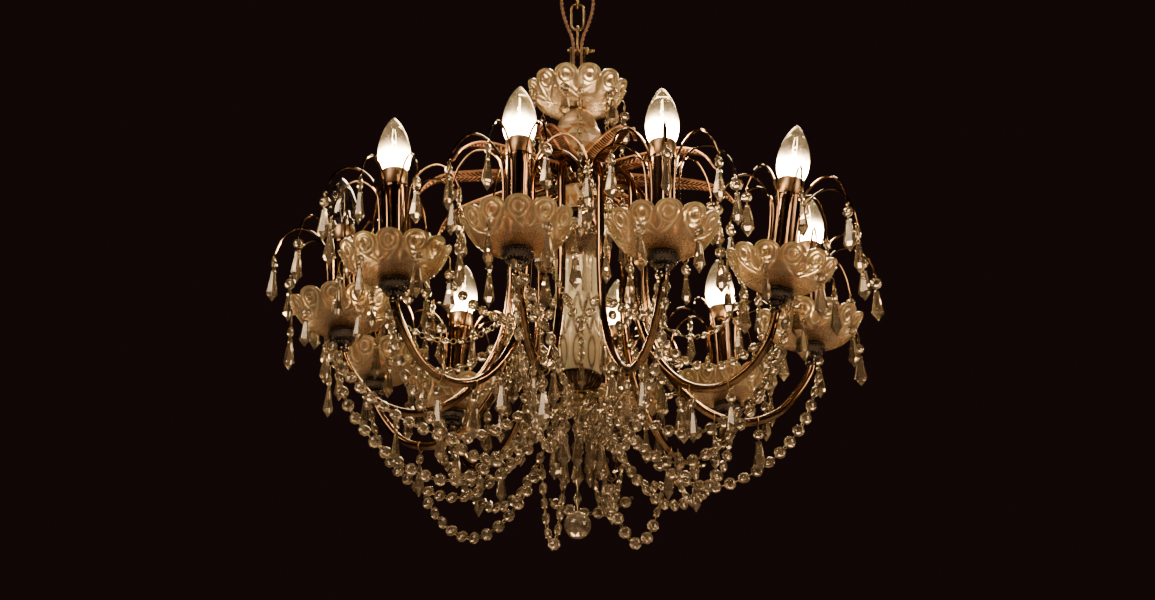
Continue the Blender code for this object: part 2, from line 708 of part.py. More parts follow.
def make_spray(number, light):
    """Collar round the candle sleeve with eight wires that rise, arch over and end in a bead and a kite drop."""
    frame = light_frame(light)
    out = bearing(light.azimuth)
    first = math.radians(light.spray_turn) - math.atan2(out.y, out.x)
    bm = bmesh.new()
    low, high = BOWL_WALL + 1.5, BOWL_WALL + 6
    inner, outer = SLEEVE_RADIUS + 0.6, SLEEVE_RADIUS + 3.2
    sides = 2 * SPRAY_WIRES
    columns = []
    for i in range(sides):
        angle = first + math.tau * (i - 0.5) / sides
        columns.append([bm.verts.new(frame @ Vector((r * math.cos(angle), r * math.sin(angle), h)))
                        for r, h in ((inner, low), (outer, low), (outer, high), (inner, high))])
    arch = (
        (SLEEVE_RADIUS + 2.6, 84), (29, 113), (52, SPRAY_PEAK), (SPRAY_REACH, SPRAY_END),
    )
    drop = (  # distance below the wire's end, and half size: the bead, then the kite
        (9, 5.0), (16, 1.2), (40, 5.5), (DROP_LENGTH, 0.5),
    )
    for i in range(sides):
        here, after = columns[i], columns[(i + 1) % sides]
        for a, b in ((0, 1), (1, 2), (3, 0)):
            bm.faces.new((here[a], here[b], after[b], after[a]))
        if i % 2 == 1:
            bm.faces.new((here[2], here[3], after[3], after[2]))
            continue
        angle = first + math.tau * i / sides
        outwards = Vector((math.cos(angle), math.sin(angle), 0))
        side = frame.to_3x3() @ Vector((-outwards.y, outwards.x, 0))
        points = [frame @ (r * outwards + Vector((0, 0, h))) for r, h in ((outer, high),) + arch]
        ways = directions(points)
        ways[-1] = Vector((0, 0, -1))
        rings = [[here[3], after[3], after[2], here[2]]]
        sized = [(p, d, WIRE_HALF) for p, d in zip(points[1:], ways[1:])]
        sized += [(points[-1] - Vector((0, 0, fall)), Vector((0, 0, -1)), half) for fall, half in drop]
        for p, d, half in sized:
            across = side.cross(d).normalized()
            corners = ((-1, -1), (1, -1), (1, 1), (-1, 1))
            rings.append([bm.verts.new(p + half * (a * side + b * across)) for a, b in corners])
        for lower, upper in zip(rings, rings[1:]):
            for k in range(4):
                m = (k + 1) % 4
                bm.faces.new((lower[k], lower[m], upper[m], upper[k]))
        bm.faces.new(rings[-1])
    add_object(f"spray_{number}", bm, crystal)


# ---------------------------------------------------------------- the whole chandelier


clear_scene()
cup_plane = add_empty("cup_plane", None, -CEILING)
yoke_pivot = add_empty("yoke_pivot", cup_plane, BOLT_HEIGHT)  # the whole frame swings about the bolt's height

brass = make_material("brass", (0.52, 0.42, 0.22), 0.35, 1.0)
satin_brass = make_material("satin_brass", (0.62, 0.50, 0.36), 0.45, 1.0)
copper = make_material("copper", (0.55, 0.27, 0.14), 0.22, 1.0)
bronze = make_material("bronze", (0.16, 0.10, 0.07), 0.3, 1.0)
crystal = make_material("crystal", (0.95, 0.95, 0.93), 0.02, 0.0, 0.9)
pressed_glass = make_material("pressed_glass", (0.93, 0.90, 0.83), 0.12, 0.0, 0.8)
lamp_glass = make_material("lamp_glass", (1.0, 0.96, 0.88), 0.05, 0.0, 0.7)
flex_brown = make_material("flex_brown", (0.24, 0.13, 0.08), 0.7)

make_ceiling_rose()
make_ceiling_hook()
make_link("chain_link_upper", link_heights()[0], edge_on=False)
make_link("chain_link_lower", link_heights()[1], edge_on=True)
make_yoke()
make_yoke_bolt()
make_supply_flex()
make_stem()
make_top_bowl()
make_ball_cap()
make_glass_ball()
make_glass_canopy()
make_leaf_crown()
make_arm_hub()
make_column_bell()
make_vase_collar()
make_centre_vase()
make_base_dish()
make_bead_garland()
make_crystal_ball()
for number, light in enumerate(LIGHTS, start=1):
    make_arm(number, light)
    make_bobeche(number, light)
    make_spray(number, light)
    make_lamp(number, light)
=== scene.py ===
"""Looks of the crystal chandelier: cut and pressed glass, bead strings, copper work and ten candle lamps.

Every detailed piece stands where its plain CAD node is. Sizes are in millimetres and heights are measured
from the cup plane, the level of the ten drip cups, as in the CAD. Azimuths are in degrees from the front, -Y,
towards +X.
"""

import random
from collections import namedtuple
from math import atan2, cos, dist, exp, hypot, pi, radians, sin, tau

import bmesh
import bpy
import numpy as np
from mathutils import Matrix, Vector


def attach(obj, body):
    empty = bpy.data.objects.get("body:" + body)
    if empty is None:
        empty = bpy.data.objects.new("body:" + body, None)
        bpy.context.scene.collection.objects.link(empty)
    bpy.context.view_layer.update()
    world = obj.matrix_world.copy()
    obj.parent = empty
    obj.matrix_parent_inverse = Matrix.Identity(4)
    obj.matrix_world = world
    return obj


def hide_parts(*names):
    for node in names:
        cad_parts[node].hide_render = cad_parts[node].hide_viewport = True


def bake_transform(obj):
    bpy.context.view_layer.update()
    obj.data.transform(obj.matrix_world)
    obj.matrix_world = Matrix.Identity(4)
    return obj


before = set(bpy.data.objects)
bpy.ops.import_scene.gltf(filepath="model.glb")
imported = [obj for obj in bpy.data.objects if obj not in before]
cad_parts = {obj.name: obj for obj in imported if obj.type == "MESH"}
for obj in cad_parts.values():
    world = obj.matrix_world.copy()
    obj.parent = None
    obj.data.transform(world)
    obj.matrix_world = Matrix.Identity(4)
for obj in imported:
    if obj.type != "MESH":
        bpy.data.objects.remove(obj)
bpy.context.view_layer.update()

MM = 0.001
CEILING = 500.0  # the ceiling above the cup plane
RIGHT, BACK, UP = Vector((1, 0, 0)), Vector((0, 1, 0)), Vector((0, 0, 1))
at = Matrix.Translation  # at(place) moves a shape to a place

# ceiling fitting, chain and yoke
LINK_WIRE = 1.5
LINK_HALF_WIDTH = 7.5
LINKS = {"upper": (404.6, 440.6), "lower": (371.9, 407.9)}  # wire middles at the bottom and the top
HOOK_LOW = 436.8
HOOK_WIRE = 2.0
HOOK_CURL = 7.0
BOLT_HEIGHT = 376.0
YOKE_INNER = 7.0
YOKE_THICKNESS = 2.0
YOKE_HALF_WIDTH = 4.0
YOKE_FOOT = 297.6
FLEX_ROUTE = (  # the right-hand strand, from the stem up into the ceiling rose
    (1.1, 0.0, 298), (1.6, -0.8, 306), (3.6, -5.0, 325), (4.8, -7.4, 350), (4.8, -7.4, 376),
    (7.0, -6.5, 392), (12.5, -5.2, 408), (17.0, -4.5, 425), (19.0, -4.5, 442),
    (15.0, -4.5, 458), (8.0, -4.0, 472), (7.0, -3.5, 486),
)
FLEX_CORE = 1.15
FLEX_LAY = 13.0  # length of one twist of the two cores

# centre stack
STEM_RADIUS = 5.0
STEM_TOP = 302.0
CAP_TOP = 293.0
VASE_TOP = 122.0
VASE_BOTTOM = -38.0
DISH_BOTTOM = -60.0
EYE_HEIGHT = -77.0
EYE_RADIUS = 4.0
EYE_WIRE = 1.1
BALL_RADIUS = 15.0
BALL_HEIGHT = -209.0

# lights
RING_RADIUS = 260.0
TUBE_RADIUS = 4.5
SLEEVE_RADIUS = 13.75
HOLDER_FLOOR = 86.0
BOWL_DEPTH = 34.0
BOWL_WALL = 3.0
LOBES = 12
LOBE_ARC = 27.6  # along a bowl's rim, from the middle of one lobe to the next
SPRAY_WIRES = 8
WIRE_RADIUS = 1.3
UNLIT = 9
GLARE_TOP = 138.0  # where the glare in a lamp is half gone
GLARE_FADE = 2.7
ARM_ROUTE = (  # distance out and height, from the hub to below the cup
    (30.3, 199), (52, 199), (69, 191), (76, 172), (76, 140), (76, 100), (76, 60), (84, 5), (106, -42),
    (140, -78), (180, -92), (218, -82), (244, -56),
)
SPRAY_ARCH = ((16.4, 8), (16.4, 40), (16.4, 70), (19.5, 98), (29, 113), (41, 120), (54, 119), (67, 107),
              (75, 88))

Light = namedtuple("Light", "azimuth lean spray_turn")
LIGHTS = [Light(*row) for row in (  # candle azimuth, its lean outwards, and a spray wire's bearing from +X
    (-13.5, 0.0, 22.5), (19.0, 1.5, 0.0), (53.4, 10.0, 5.0), (90.0, 1.5, 0.0), (136.0, -3.0, 10.0),
    (168.0, -4.0, 1.5), (-145.0, -6.0, 15.8), (-116.0, 0.0, 15.8), (-81.0, 3.0, 12.0), (-46.7, 3.0, 22.5),
)]
NUMBERED_LIGHTS = list(enumerate(LIGHTS, start=1))

# bead strings
LOOPS = (  # hanging bead loops: (azimuth, distance out, height) of the two ends and of the lowest point
    ((-116, 190, -152), (-100, 42, -140), (-113, 116, -209)),
    ((-75, 40, -146), (-60, 15, -140), (-80, 27, -233)),
    ((80, 26, -146), (104, 96, -160), (100, 64, -226)),
    ((146, 110, -150), (200, 100, -148), (172, 92, -168)),
    ((54, 130, -150), (90, 150, -152), (74, 122, -190)),
)
DRAPE = ((36, -68), (48, -92), (90, -142), (142, -166), (200, -144), (248, -92), (271, -24))  # out and height
BEAD_RING_RADIUS = 32.0
BEAD_RING_HEIGHT = DISH_BOTTOM - 7
BEAD = 14.0  # across an octagon bead
SMALL_BEAD = 12.0
SMALL_PITCH = 14.0
TINY_BEAD = 8.0
BEAD_PITCH = 16.6
LEAF_BARB = 5.2  # distance between two barbs of a feather leaf
LEAF_HALF_WIDTH = 12.6
LEAF_HOLLOW = 4.4  # how far its blade sinks on each side of the spine

# studio, in metres
FLOOR_REACH = 8.0
FLOOR_LEVEL = -2.3
LIGHT_AIM = -0.45  # the height that the lights look at
CAMERA_PLACE = (-0.010, -2.058, -1.326)
CAMERA_AIM = -0.446

chance = random.Random(4)


# ---- shapes


class Shape:
    """Points and faces in millimetres, a material number for each face and a value for each point."""

    def __init__(self):
        self.points, self.faces, self.slots, self.smooth, self.values = [], [], [], [], []

    def add(self, points, faces, slot=0, smooth=True, values=None):
        """Adds faces of one material."""
        count = len(faces)
        return self.join(points, faces, [slot] * count, [smooth] * count,
                         [0.0] * len(points) if values is None else values)

    def join(self, points, faces, slots, smooth, values):
        start = len(self.points)
        self.points.extend(tuple(p) for p in points)
        self.faces.extend(tuple(i + start for i in face) for face in faces)
        self.slots.extend(slots)
        self.smooth.extend(smooth)
        self.values.extend(values)
        return self

    def stamp(self, other, matrix=Matrix()):
        """Adds a copy of another shape."""
        points = np.array(other.points) @ np.array(matrix.to_3x3()).T + np.array(matrix.translation)
        return self.join(points, other.faces, other.slots, other.smooth, other.values)


def angles(count):
    """Even angles that go once round."""
    return [tau * i / count for i in range(count)]


def circle(centre, radius, across, up, count):
    return [centre + radius * (cos(a) * across + sin(a) * up) for a in angles(count)]


def caps(rows, columns):
    """Faces across the two ends of a grid whose columns run right round."""
    return [tuple(reversed(range(columns))), tuple(range((rows - 1) * columns, rows * columns))]


def grid_faces(rows, columns, closed=False):
    """Quads of a grid whose columns run right round. Its rows do so if closed; else it has two caps."""
    faces = []
    for i in range(rows if closed else rows - 1):
        for j in range(columns):
            k, m = (i + 1) % rows, (j + 1) % columns
            faces.append((i * columns + j, i * columns + m, k * columns + m, k * columns + j))
    return faces if closed else faces + caps(rows, columns)


def turned(outline, sides, change=None, closed=False, slot=0, smooth=True, value=None):
    """Solid turned about Z from a (radius, height) outline. A closed outline runs round a wall; an open one
    is capped at both ends. change(radius, height, angle) moves a point."""
    points, values = [], []
    for radius, height in outline:
        for angle in angles(sides):
            r, h = change(radius, height, angle) if change else (radius, height)
            points.append((r * cos(angle), r * sin(angle), h))
            values.append(value(radius, height, angle) if value else 0.0)
    return Shape().add(points, grid_faces(len(outline), sides, closed), slot, smooth, values)


def curve(points, steps):
    """Points along a smooth curve through the given ones."""
    points = [Vector(p) for p in points]
    ends = [2 * points[0] - points[1]] + points + [2 * points[-1] - points[-2]]
    result = []
    for a, b, c, d in zip(ends, ends[1:], ends[2:], ends[3:]):
        for k in range(steps):
            t = k / steps
            result.append(0.5 * (2 * b + (c - a) * t + (2 * a - 5 * b + 4 * c - d) * t**2
                                 + (3 * b - a - 3 * c + d) * t**3))
    return result + [points[-1]]


def spline(outline, steps):
    """A (radius, height) outline rounded through its points."""
    return [(max(p.x, 0.01), p.z) for p in curve([(r, 0, h) for r, h in outline], steps)]


def ways(path, closed=False):
    """Unit direction at each point of a path."""
    before, after = (path[-1:], path[:1]) if closed else (path[:1], path[-1:])
    return [(b - a).normalized() for a, b in zip(before + path[:-1], path[1:] + after)]


def distances(path):
    """Distance along a path to each of its points."""
    result = [0.0]
    for a, b in zip(path, path[1:]):
        result.append(result[-1] + (b - a).length)
    return result


def tube(path, radius, sides, slot=0, closed=False):
    """Round bar along a path. radius is one number or one for each point."""
    path = [Vector(p) for p in path]
    radii = radius if isinstance(radius, list) else [radius] * len(path)
    normal = None
    points = []
    for p, way, r in zip(path, ways(path, closed), radii):
        if normal is None:
            normal = way.orthogonal()
        normal = (normal - way * normal.dot(way)).normalized()
        points += circle(p, r, normal, way.cross(normal), sides)
    return Shape().add(points, grid_faces(len(path), sides, closed), slot)


def hoop(radius, wire, around, sides):
    """Ring of joining wire about Z."""
    return tube(circle(Vector(), radius, RIGHT, BACK, around), wire, sides, slot=1, closed=True)


def facets(rows, sides, depth=1.0):
    """Cut glass about Z from (radius, height, turn in half sides) rows. depth flattens it along Y."""
    points = []
    for radius, height, turn in rows:
        for j in range(sides):
            angle = tau * (j + turn / 2) / sides
            points.append((radius * cos(angle), radius * sin(angle) * depth, height))
    faces = []
    for i in range(len(rows) - 1):
        shift = rows[i + 1][2] - rows[i][2]
        for j in range(sides):
            m = (j + 1) % sides
            a, b = i * sides + j, i * sides + m
            c, d = (i + 1) * sides + m, (i + 1) * sides + j
            if shift == 0:
                faces.append((a, b, c, d))
            elif shift > 0:
                faces += [(a, b, d), (b, c, d)]
            else:
                faces += [(a, b, c), (a, c, d)]
    return Shape().add(points, faces + caps(len(rows), sides), smooth=False)


def placed(name, data, place=(0, 0, 0), aim=None):
    """Object in the scene. With aim, it looks at that height on the chandelier's axis."""
    item = bpy.data.objects.new(name, data)
    item.location = place
    if aim is not None:
        item.rotation_euler = (Vector((0, 0, aim)) - Vector(place)).to_track_quat("-Z", "Y").to_euler()
    bpy.context.scene.collection.objects.link(item)
    return item


def bare_piece(name, shape, materials, crease=38):
    """Object in the model's own frame, on no body yet."""
    mesh = bpy.data.meshes.new(name)
    points = np.array(shape.points, float) * MM
    points[:, 2] -= CEILING * MM
    mesh.from_pydata(points.tolist(), [], shape.faces)
    for material in materials:
        mesh.materials.append(material)
    mesh.polygons.foreach_set("material_index", shape.slots)
    mesh.polygons.foreach_set("use_smooth", shape.smooth)
    amount = mesh.attributes.new("amount", "FLOAT", "POINT")
    amount.data.foreach_set("value", np.array(shape.values, np.float32))
    # each flat face gets its own random number, which the glass turns into a painted reflection
    reflection_tones = random.Random(name)
    facet = mesh.attributes.new("facet", "FLOAT", "FACE")
    facet.data.foreach_set("value", [0.0 if smooth else reflection_tones.random() for smooth in shape.smooth])
    bm = bmesh.new()
    bm.from_mesh(mesh)
    bmesh.ops.recalc_face_normals(bm, faces=bm.faces)
    bm.to_mesh(mesh)
    bm.free()
    mesh.set_sharp_from_angle(angle=radians(crease))
    return placed(name, mesh)


def piece(name, shape, materials, body, slot, *replaces, crease=38):
    """Object that rides on a CAD body, in place of the CAD nodes that it replaces."""
    item = bare_piece(name, shape, materials, crease)
    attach(item, body)
    if replaces:
        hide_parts(*replaces)


def fixture(name, shape, material, slot, *replaces, crease=38):
    """Piece of one material on the light itself."""
    piece(name, shape, [material], "chandelier", slot, *replaces, crease=crease)


def beadwork(name, shape, *replaces, slot="crystal"):
    """Beads and drops on the light itself, with the wire that joins them."""
    piece(name, shape, GLASS_SET, "chandelier", slot, *replaces, crease=25)


def bearing(azimuth):
    angle = radians(azimuth)
    return Vector((sin(angle), -cos(angle), 0))


def polar(azimuth, radius, height):
    return radius * bearing(azimuth) + height * UP


def spin(angle, axis="Z"):
    return Matrix.Rotation(angle, 4, axis)


def facing(way):
    """Turn about Z that brings +X to a level direction."""
    return spin(atan2(way.y, way.x))


def light_frame(light):
    """Matrix from a candle's own upright axes (X outwards) to its place on the ring, with its lean."""
    out = bearing(light.azimuth)
    lean = spin(radians(light.lean), "Y")
    return at(RING_RADIUS * out) @ facing(out) @ lean


# ---- materials


def node(tree, kind, inputs=None, **settings):
    made = tree.nodes.new("ShaderNode" + kind)
    for key, value in settings.items():
        setattr(made, key, value)
    for key, value in (inputs or {}).items():
        if isinstance(value, bpy.types.NodeSocket):
            tree.links.new(value, made.inputs[key])
        else:
            made.inputs[key].default_value = value
    return made


def principled(name, **values):
    """Material with one Principled node. Socket names are given with underscores."""
    material = bpy.data.materials.new(name)
    material.use_nodes = True
    shader = material.node_tree.nodes["Principled BSDF"]
    for key, value in values.items():
        shader.inputs[key.replace("_", " ")].default_value = value
    return material, material.node_tree, shader


def connect(tree, shader, **values):
    for key, value in values.items():
        tree.links.new(value, shader.inputs[key.replace("_", " ")])


def maths(tree, operation, *values, clamped=False):
    made = node(tree, "Math", dict(enumerate(values)), operation=operation, use_clamp=clamped)
    return made.outputs[0]


def stored(tree, name):
    """The number that a mesh keeps under this name."""
    return node(tree, "Attribute", attribute_name=name).outputs["Fac"]


def mapped(tree, **change):
    """The piece's own space, in metres, turned or drawn out."""
    place = node(tree, "TexCoord").outputs["Object"]
    return node(tree, "Mapping", {"Vector": place, **change}).outputs["Vector"]


def noise(tree, scale, detail=4.0, roughness=0.55, stretch=(1, 1, 1)):
    return node(tree, "TexNoise", {"Vector": mapped(tree, Scale=stretch), "Scale": scale, "Detail": detail,
                                   "Roughness": roughness}).outputs["Fac"]


def ramp(tree, amount, stops):
    """Colour ramp with (place, colour) stops."""
    made = node(tree, "ValToRGB", {"Fac": amount})
    elements = made.color_ramp.elements
    while len(elements) < len(stops):
        elements.new(0.5)
    for element, (place, colour) in zip(elements, stops):
        element.position = place
        element.color = (*colour, 1.0)
    return made.outputs["Color"]


def spread(tree, amount, low, high, start=0.3, end=0.7):
    return node(tree, "MapRange", {"Value": amount, "From Min": start, "From Max": end,
                                   "To Min": low, "To Max": high}).outputs["Result"]


def bump(tree, shader, height, strength, distance):
    made = node(tree, "Bump", {"Height": height, "Strength": strength, "Distance": distance})
    connect(tree, shader, Normal=made.outputs["Normal"])


def metal(name, bright, worn, rough=(0.14, 0.32), scale=70.0, stretch=(1, 1, 1), relief=0.15, coat=0.0,
          grooves=False):
    """Plated metal: bright where it is handled, darker in patches, with fine scratches and pits. With
    grooves, it is darker where a point's amount is high, as painted shade down in the grooves."""
    material, tree, shader = principled(name, Metallic=1.0, Coat_Weight=coat, Coat_Roughness=0.12)
    patches = noise(tree, scale, 5.0, 0.6, stretch)
    # painted shade: the point amount darkens the grooves and lightens the crests a little
    if grooves:
        depth = spread(tree, stored(tree, "amount"), -0.12, 0.4, 0.1, 0.9)
        patches = maths(tree, "SUBTRACT", patches, depth)
    middle = tuple((a + b) / 2 for a, b in zip(bright, worn))
    connect(tree, shader, Base_Color=ramp(tree, patches, ((0.34, worn), (0.5, middle), (0.62, bright))),
            Roughness=spread(tree, patches, rough[1], rough[0]))
    bump(tree, shader, noise(tree, scale * 14, 3.0, 0.6, stretch), relief, 0.0002)
    return material


def glass(name, clear, deep, rough, frost, transmission, waviness=0.0, scale=150.0, facet_reflection=0.0, milk=0.0):
    """Glass that is clear where a point's amount is 0, and deeper in colour and frosted where it is 1. On the
    vase and the bowls the deeper colour is also painted shade, along the cuts and between the raised lines.
    Each facet is up to facet_reflection deeper, by its own random number: a painted reflection, as each one
    would show another part of the room. milk is the share of light that scatters inside it, as in a moulded
    wall lit from behind."""
    material, tree, shader = principled(name, Transmission_Weight=transmission, IOR=1.6,
                                        Specular_IOR_Level=0.45, Subsurface_Weight=milk,
                                        Subsurface_Radius=(0.007, 0.005, 0.003), Subsurface_Scale=1.0)
    amount = stored(tree, "amount")
    streaks = spread(tree, noise(tree, 60.0, 3.0), -0.12, 0.12)
    # painted reflection: each facet deeper by its own random number, on top of random streaks
    tone = maths(tree, "MULTIPLY_ADD", stored(tree, "facet"), facet_reflection, streaks)
    depth = maths(tree, "ADD", amount, tone, clamped=True)
    grain = spread(tree, noise(tree, 900.0, 2.0), 0.7, 1.2)
    dull = maths(tree, "MULTIPLY", amount, grain)
    connect(tree, shader, Base_Color=ramp(tree, depth, ((0.0, clear), (1.0, deep))),
            Roughness=spread(tree, dull, rough, frost, 0.0, 1.0))
    if waviness:
        bump(tree, shader, noise(tree, scale, 3.0), waviness, 0.0008)
    return material


def lamp_material(name, strength):
    """Thin clear glass whose lower part is filled with the filament's glare, where amount rises to 1."""
    material, tree, shader = principled(name, Base_Color=(0.72, 0.68, 0.55, 1), Transmission_Weight=1.0,
                                        IOR=1.3, Roughness=0.03, Emission_Color=(1.0, 0.68, 0.36, 1))
    cloud = spread(tree, noise(tree, 110.0, 4.0), 0.35, 1.3)
    glare = maths(tree, "MULTIPLY", stored(tree, "amount"), cloud)
    connect(tree, shader, Emission_Strength=maths(tree, "MULTIPLY", glare, strength))
    bump(tree, shader, noise(tree, 45.0, 2.0), 0.12, 0.001)
    return material


def flex_material(name):
    """Brown textile braid: two crossing sets of fine threads."""
    material, tree, shader = principled(name, Roughness=0.85, Sheen_Weight=0.4, Sheen_Roughness=0.5)
    threads = []
    for turn in (0.7, -0.7):
        turned_space = mapped(tree, Rotation=(0, turn, 0))
        wave = node(tree, "TexWave", {"Vector": turned_space, "Scale": 330.0, "Distortion": 1.0})
        threads.append(wave.outputs["Fac"])
    braid = maths(tree, "MAXIMUM", *threads)
    connect(tree, shader, Base_Color=ramp(tree, braid,
                                          ((0.2, (0.05, 0.022, 0.012)), (0.9, (0.24, 0.12, 0.065)))))
    bump(tree, shader, braid, 0.6, 0.0003)
    return material


def glowing(name, colour, strength):
    material, tree, shader = principled(name, Base_Color=(1, 0.9, 0.7, 1), Roughness=0.4,
                                        Emission_Color=(*colour, 1))
    flicker = spread(tree, noise(tree, 300.0), strength * 0.8, strength * 1.2)
    connect(tree, shader, Emission_Strength=flicker)
    return material


copper = metal("copper", (0.34, 0.205, 0.1), (0.075, 0.04, 0.024), (0.06, 0.15), 38.0, (1, 1, 0.35),
               relief=0.08, coat=0.3)
# the feather leaves' copper, with painted shade in their barb grooves
leaf_copper = metal("leaf_copper", (0.95, 0.5, 0.3), (0.05, 0.02, 0.012), (0.3, 0.45), 60.0, relief=0.2,
                    grooves=True)
bronze = metal("sleeve_bronze", (0.2, 0.12, 0.07), (0.05, 0.03, 0.02), (0.1, 0.2), 30.0, (1, 1, 0.08),
               relief=0.05, coat=0.4)
black_bronze = metal("black_bronze", (0.08, 0.056, 0.042), (0.022, 0.016, 0.013), (0.05, 0.14), 120.0,
                     relief=0.04, coat=1.0)
dark_bronze = metal("dark_bronze", (0.13, 0.085, 0.06), (0.035, 0.024, 0.02), (0.15, 0.35), 120.0,
                    relief=0.15)
brass = metal("aged_brass", (0.5, 0.38, 0.18), (0.16, 0.11, 0.055), (0.22, 0.5), 140.0, relief=0.35)
satin_gold = metal("satin_gold", (0.86, 0.7, 0.5), (0.68, 0.53, 0.36), (0.42, 0.55), 90.0, (1, 1, 0.2), 0.08)
tan_band = metal("tan_band", (0.3, 0.2, 0.12), (0.17, 0.11, 0.07), (0.28, 0.4), 60.0, (1, 1, 0.2), 0.08)
nickel = metal("lamp_cap_metal", (0.62, 0.52, 0.36), (0.35, 0.27, 0.17), (0.2, 0.35), 200.0)
# the crystal and the column glass carry a painted reflection on each facet, by facet_reflection
crystal = glass("cut_crystal", (0.76, 0.64, 0.46), (0.14, 0.105, 0.07), 0.01, 0.3, 0.82, facet_reflection=0.9)
pressed = glass("pressed_glass", (1.0, 0.86, 0.58), (0.36, 0.215, 0.1), 0.04, 0.3, 0.78, 0.4, 130.0, milk=0.5)
cut_glass = glass("column_glass", (1.0, 0.9, 0.68), (0.5, 0.22, 0.06), 0.02, 0.3, 0.45, 0.1, 120.0,
                  facet_reflection=1.0, milk=0.3)
vase_glass = glass("vase_glass", (1.0, 0.88, 0.64), (0.08, 0.037, 0.014), 0.03, 0.3, 0.35, milk=0.5)
lit_glass = lamp_material("lit_lamp_glass", 115.0)
unlit_glass = glass("unlit_lamp_glass", (0.98, 0.99, 0.98), (0.9, 0.9, 0.9), 0.02, 0.2, 1.0, 0.1, 60.0)
flex_brown = flex_material("flex_brown")
filament = glowing("filament_glow", (1.0, 0.8, 0.5), 30.0)
GLASS_SET = [crystal, brass]  # beads and drops, and the wire that joins them


# ---- glass drops and beads


def octagon_bead(across):
    """Flat eight-sided bead with a table on each face. Its flat axis is Z."""
    r = across / 2
    half = [(0.4, 0.52, 0), (0.76, 0.36, 1), (1.0, 0.13, 0)]
    rows = [(r * a, -r * h, t) for a, h, t in half] + [(r * a, r * h, t) for a, h, t in reversed(half)]
    return facets(rows, 8)


def kite_drop(length, width):
    """Drop that hangs below the origin. It widens to three quarters of its length, then comes to a point."""
    rows = [(0.3, 0.0, 0), (0.5, -0.03, 0), (0.42, -0.09, 0), (1.0, -0.74, 0), (0.05, -1.0, 0)]
    return facets([(width * r, length * h, t) for r, h, t in rows], 6, depth=0.78)


def cone_bead(length, width):
    """Long bead of two cones."""
    rows = [(0.35, -0.5, 0), (1.0, -0.08, 1), (1.0, 0.08, 1), (0.35, 0.5, 0)]
    return facets([(width * r, length * h, t) for r, h, t in rows], 8)


BEADS = {across: octagon_bead(across) for across in (BEAD, SMALL_BEAD, TINY_BEAD)}
DROP = kite_drop(36.0, 7.3)
SHORT_DROP = kite_drop(30.0, 6.4)
CONE = cone_bead(11.0, 3.4)
PIN = hoop(1.7, 0.38, 8, 4)
EYELET = hoop(3.1, 0.5, 12, 5)
ON_EDGE = spin(pi / 2, "Y")
ON_END = spin(pi / 2, "X")


def along(place, way, roll):
    """Matrix that lays local X along a direction, rolled about it."""
    way = way.normalized()
    side = way.cross(UP) if abs(way.z) < 0.95 else way.cross(BACK)
    side.normalize()
    axes = Matrix((way, side.cross(way), side)).transposed()
    return at(place) @ axes.to_4x4() @ spin(roll, "X")


def places(path, pitch, lead=0.0):
    """(point, direction) at each pitch along a path."""
    result, travelled, wanted = [], 0.0, lead
    for a, b in zip(path, path[1:]):
        length = (b - a).length
        while wanted <= travelled + length and length > 0:
            result.append((a.lerp(b, (wanted - travelled) / length), b - a))
            wanted += pitch
        travelled += length
    return result


def bead_string(shape, path, across=BEAD, pitch=BEAD_PITCH):
    """Octagon beads along a path, each turned its own way, with a wire pin between each two."""
    for place, way in places(path, pitch, pitch / 2):
        shape.stamp(BEADS[across], along(place, way, chance.uniform(-0.5, 0.5)))
    for place, way in places(path, pitch):
        shape.stamp(PIN, along(place, way, chance.uniform(0, pi)))
    return shape


def linked_string(shape, path, pitch=17.5):
    """Long cone beads and wire rings by turns."""
    for place, way in places(path, pitch, pitch / 2):
        shape.stamp(CONE, along(place, way, chance.uniform(0, 1)) @ ON_EDGE)
    for place, way in places(path, pitch):
        shape.stamp(EYELET, along(place, way, chance.uniform(0.3, 1.2)))
    return shape


def hang_drop(shape, place, bead=SMALL_BEAD, drop=DROP):
    """Bead with a kite drop under it, hanging from a point."""
    turn = spin(chance.uniform(0, pi))
    shape.stamp(PIN, at(place - 1.2 * UP) @ turn @ ON_EDGE)
    centre = place - (2.6 + bead / 2) * UP
    shape.stamp(BEADS[bead], at(centre) @ turn @ ON_END)
    low = centre - (bead / 2 + 1.4) * UP
    shape.stamp(PIN, at(low) @ turn @ ON_EDGE)
    twist = spin(chance.uniform(-0.6, 0.6))
    shape.stamp(drop, at(low - 1.2 * UP) @ turn @ twist)


# ---- ceiling, chain, yoke and flex


def build_ceiling():
    rose = [(51.6, 499.6), (52, 497), (51, 495.5), (52, 493), (49, 488), (41, 481.5), (28, 475.5),
            (16, 471.2), (14, 470), (14, 471.6), (27, 477), (40, 483), (48.5, 491), (50.4, 496),
            (50.4, 499.6)]
    piece("ceiling_rose_shell", turned(rose, 64, closed=True), [brass], "ceiling", "brass", "ceiling_rose")

    plate = turned([(1, 497), (14.4, 497), (15, 497.6), (15, 499.9), (1, 499.9)], 48)
    screw_head = turned([(0.3, 494.9), (2.4, 495.2), (3.4, 496.2), (3.5, 497), (0.3, 497)], 20)
    for side in (-1, 1):
        plate.stamp(screw_head, at((10 * side, 0, 0)))
    route = [(0, 0, 497), (0, 0, HOOK_LOW + 30), (0, 0, HOOK_LOW + 22), (0, 4, HOOK_LOW + 15)]
    for degrees in (10, -30, -60, -90, -120, -150, -190):
        angle = radians(degrees)
        route.append((0, HOOK_CURL * cos(angle), HOOK_LOW + HOOK_CURL + HOOK_CURL * sin(angle)))
    path = curve(route, 5)
    plate.stamp(tube(path, [HOOK_WIRE] * (len(path) - 1) + [0.6 * HOOK_WIRE], 14))
    piece("ceiling_hook_screwed", plate, [brass], "ceiling", "brass", "ceiling_hook")


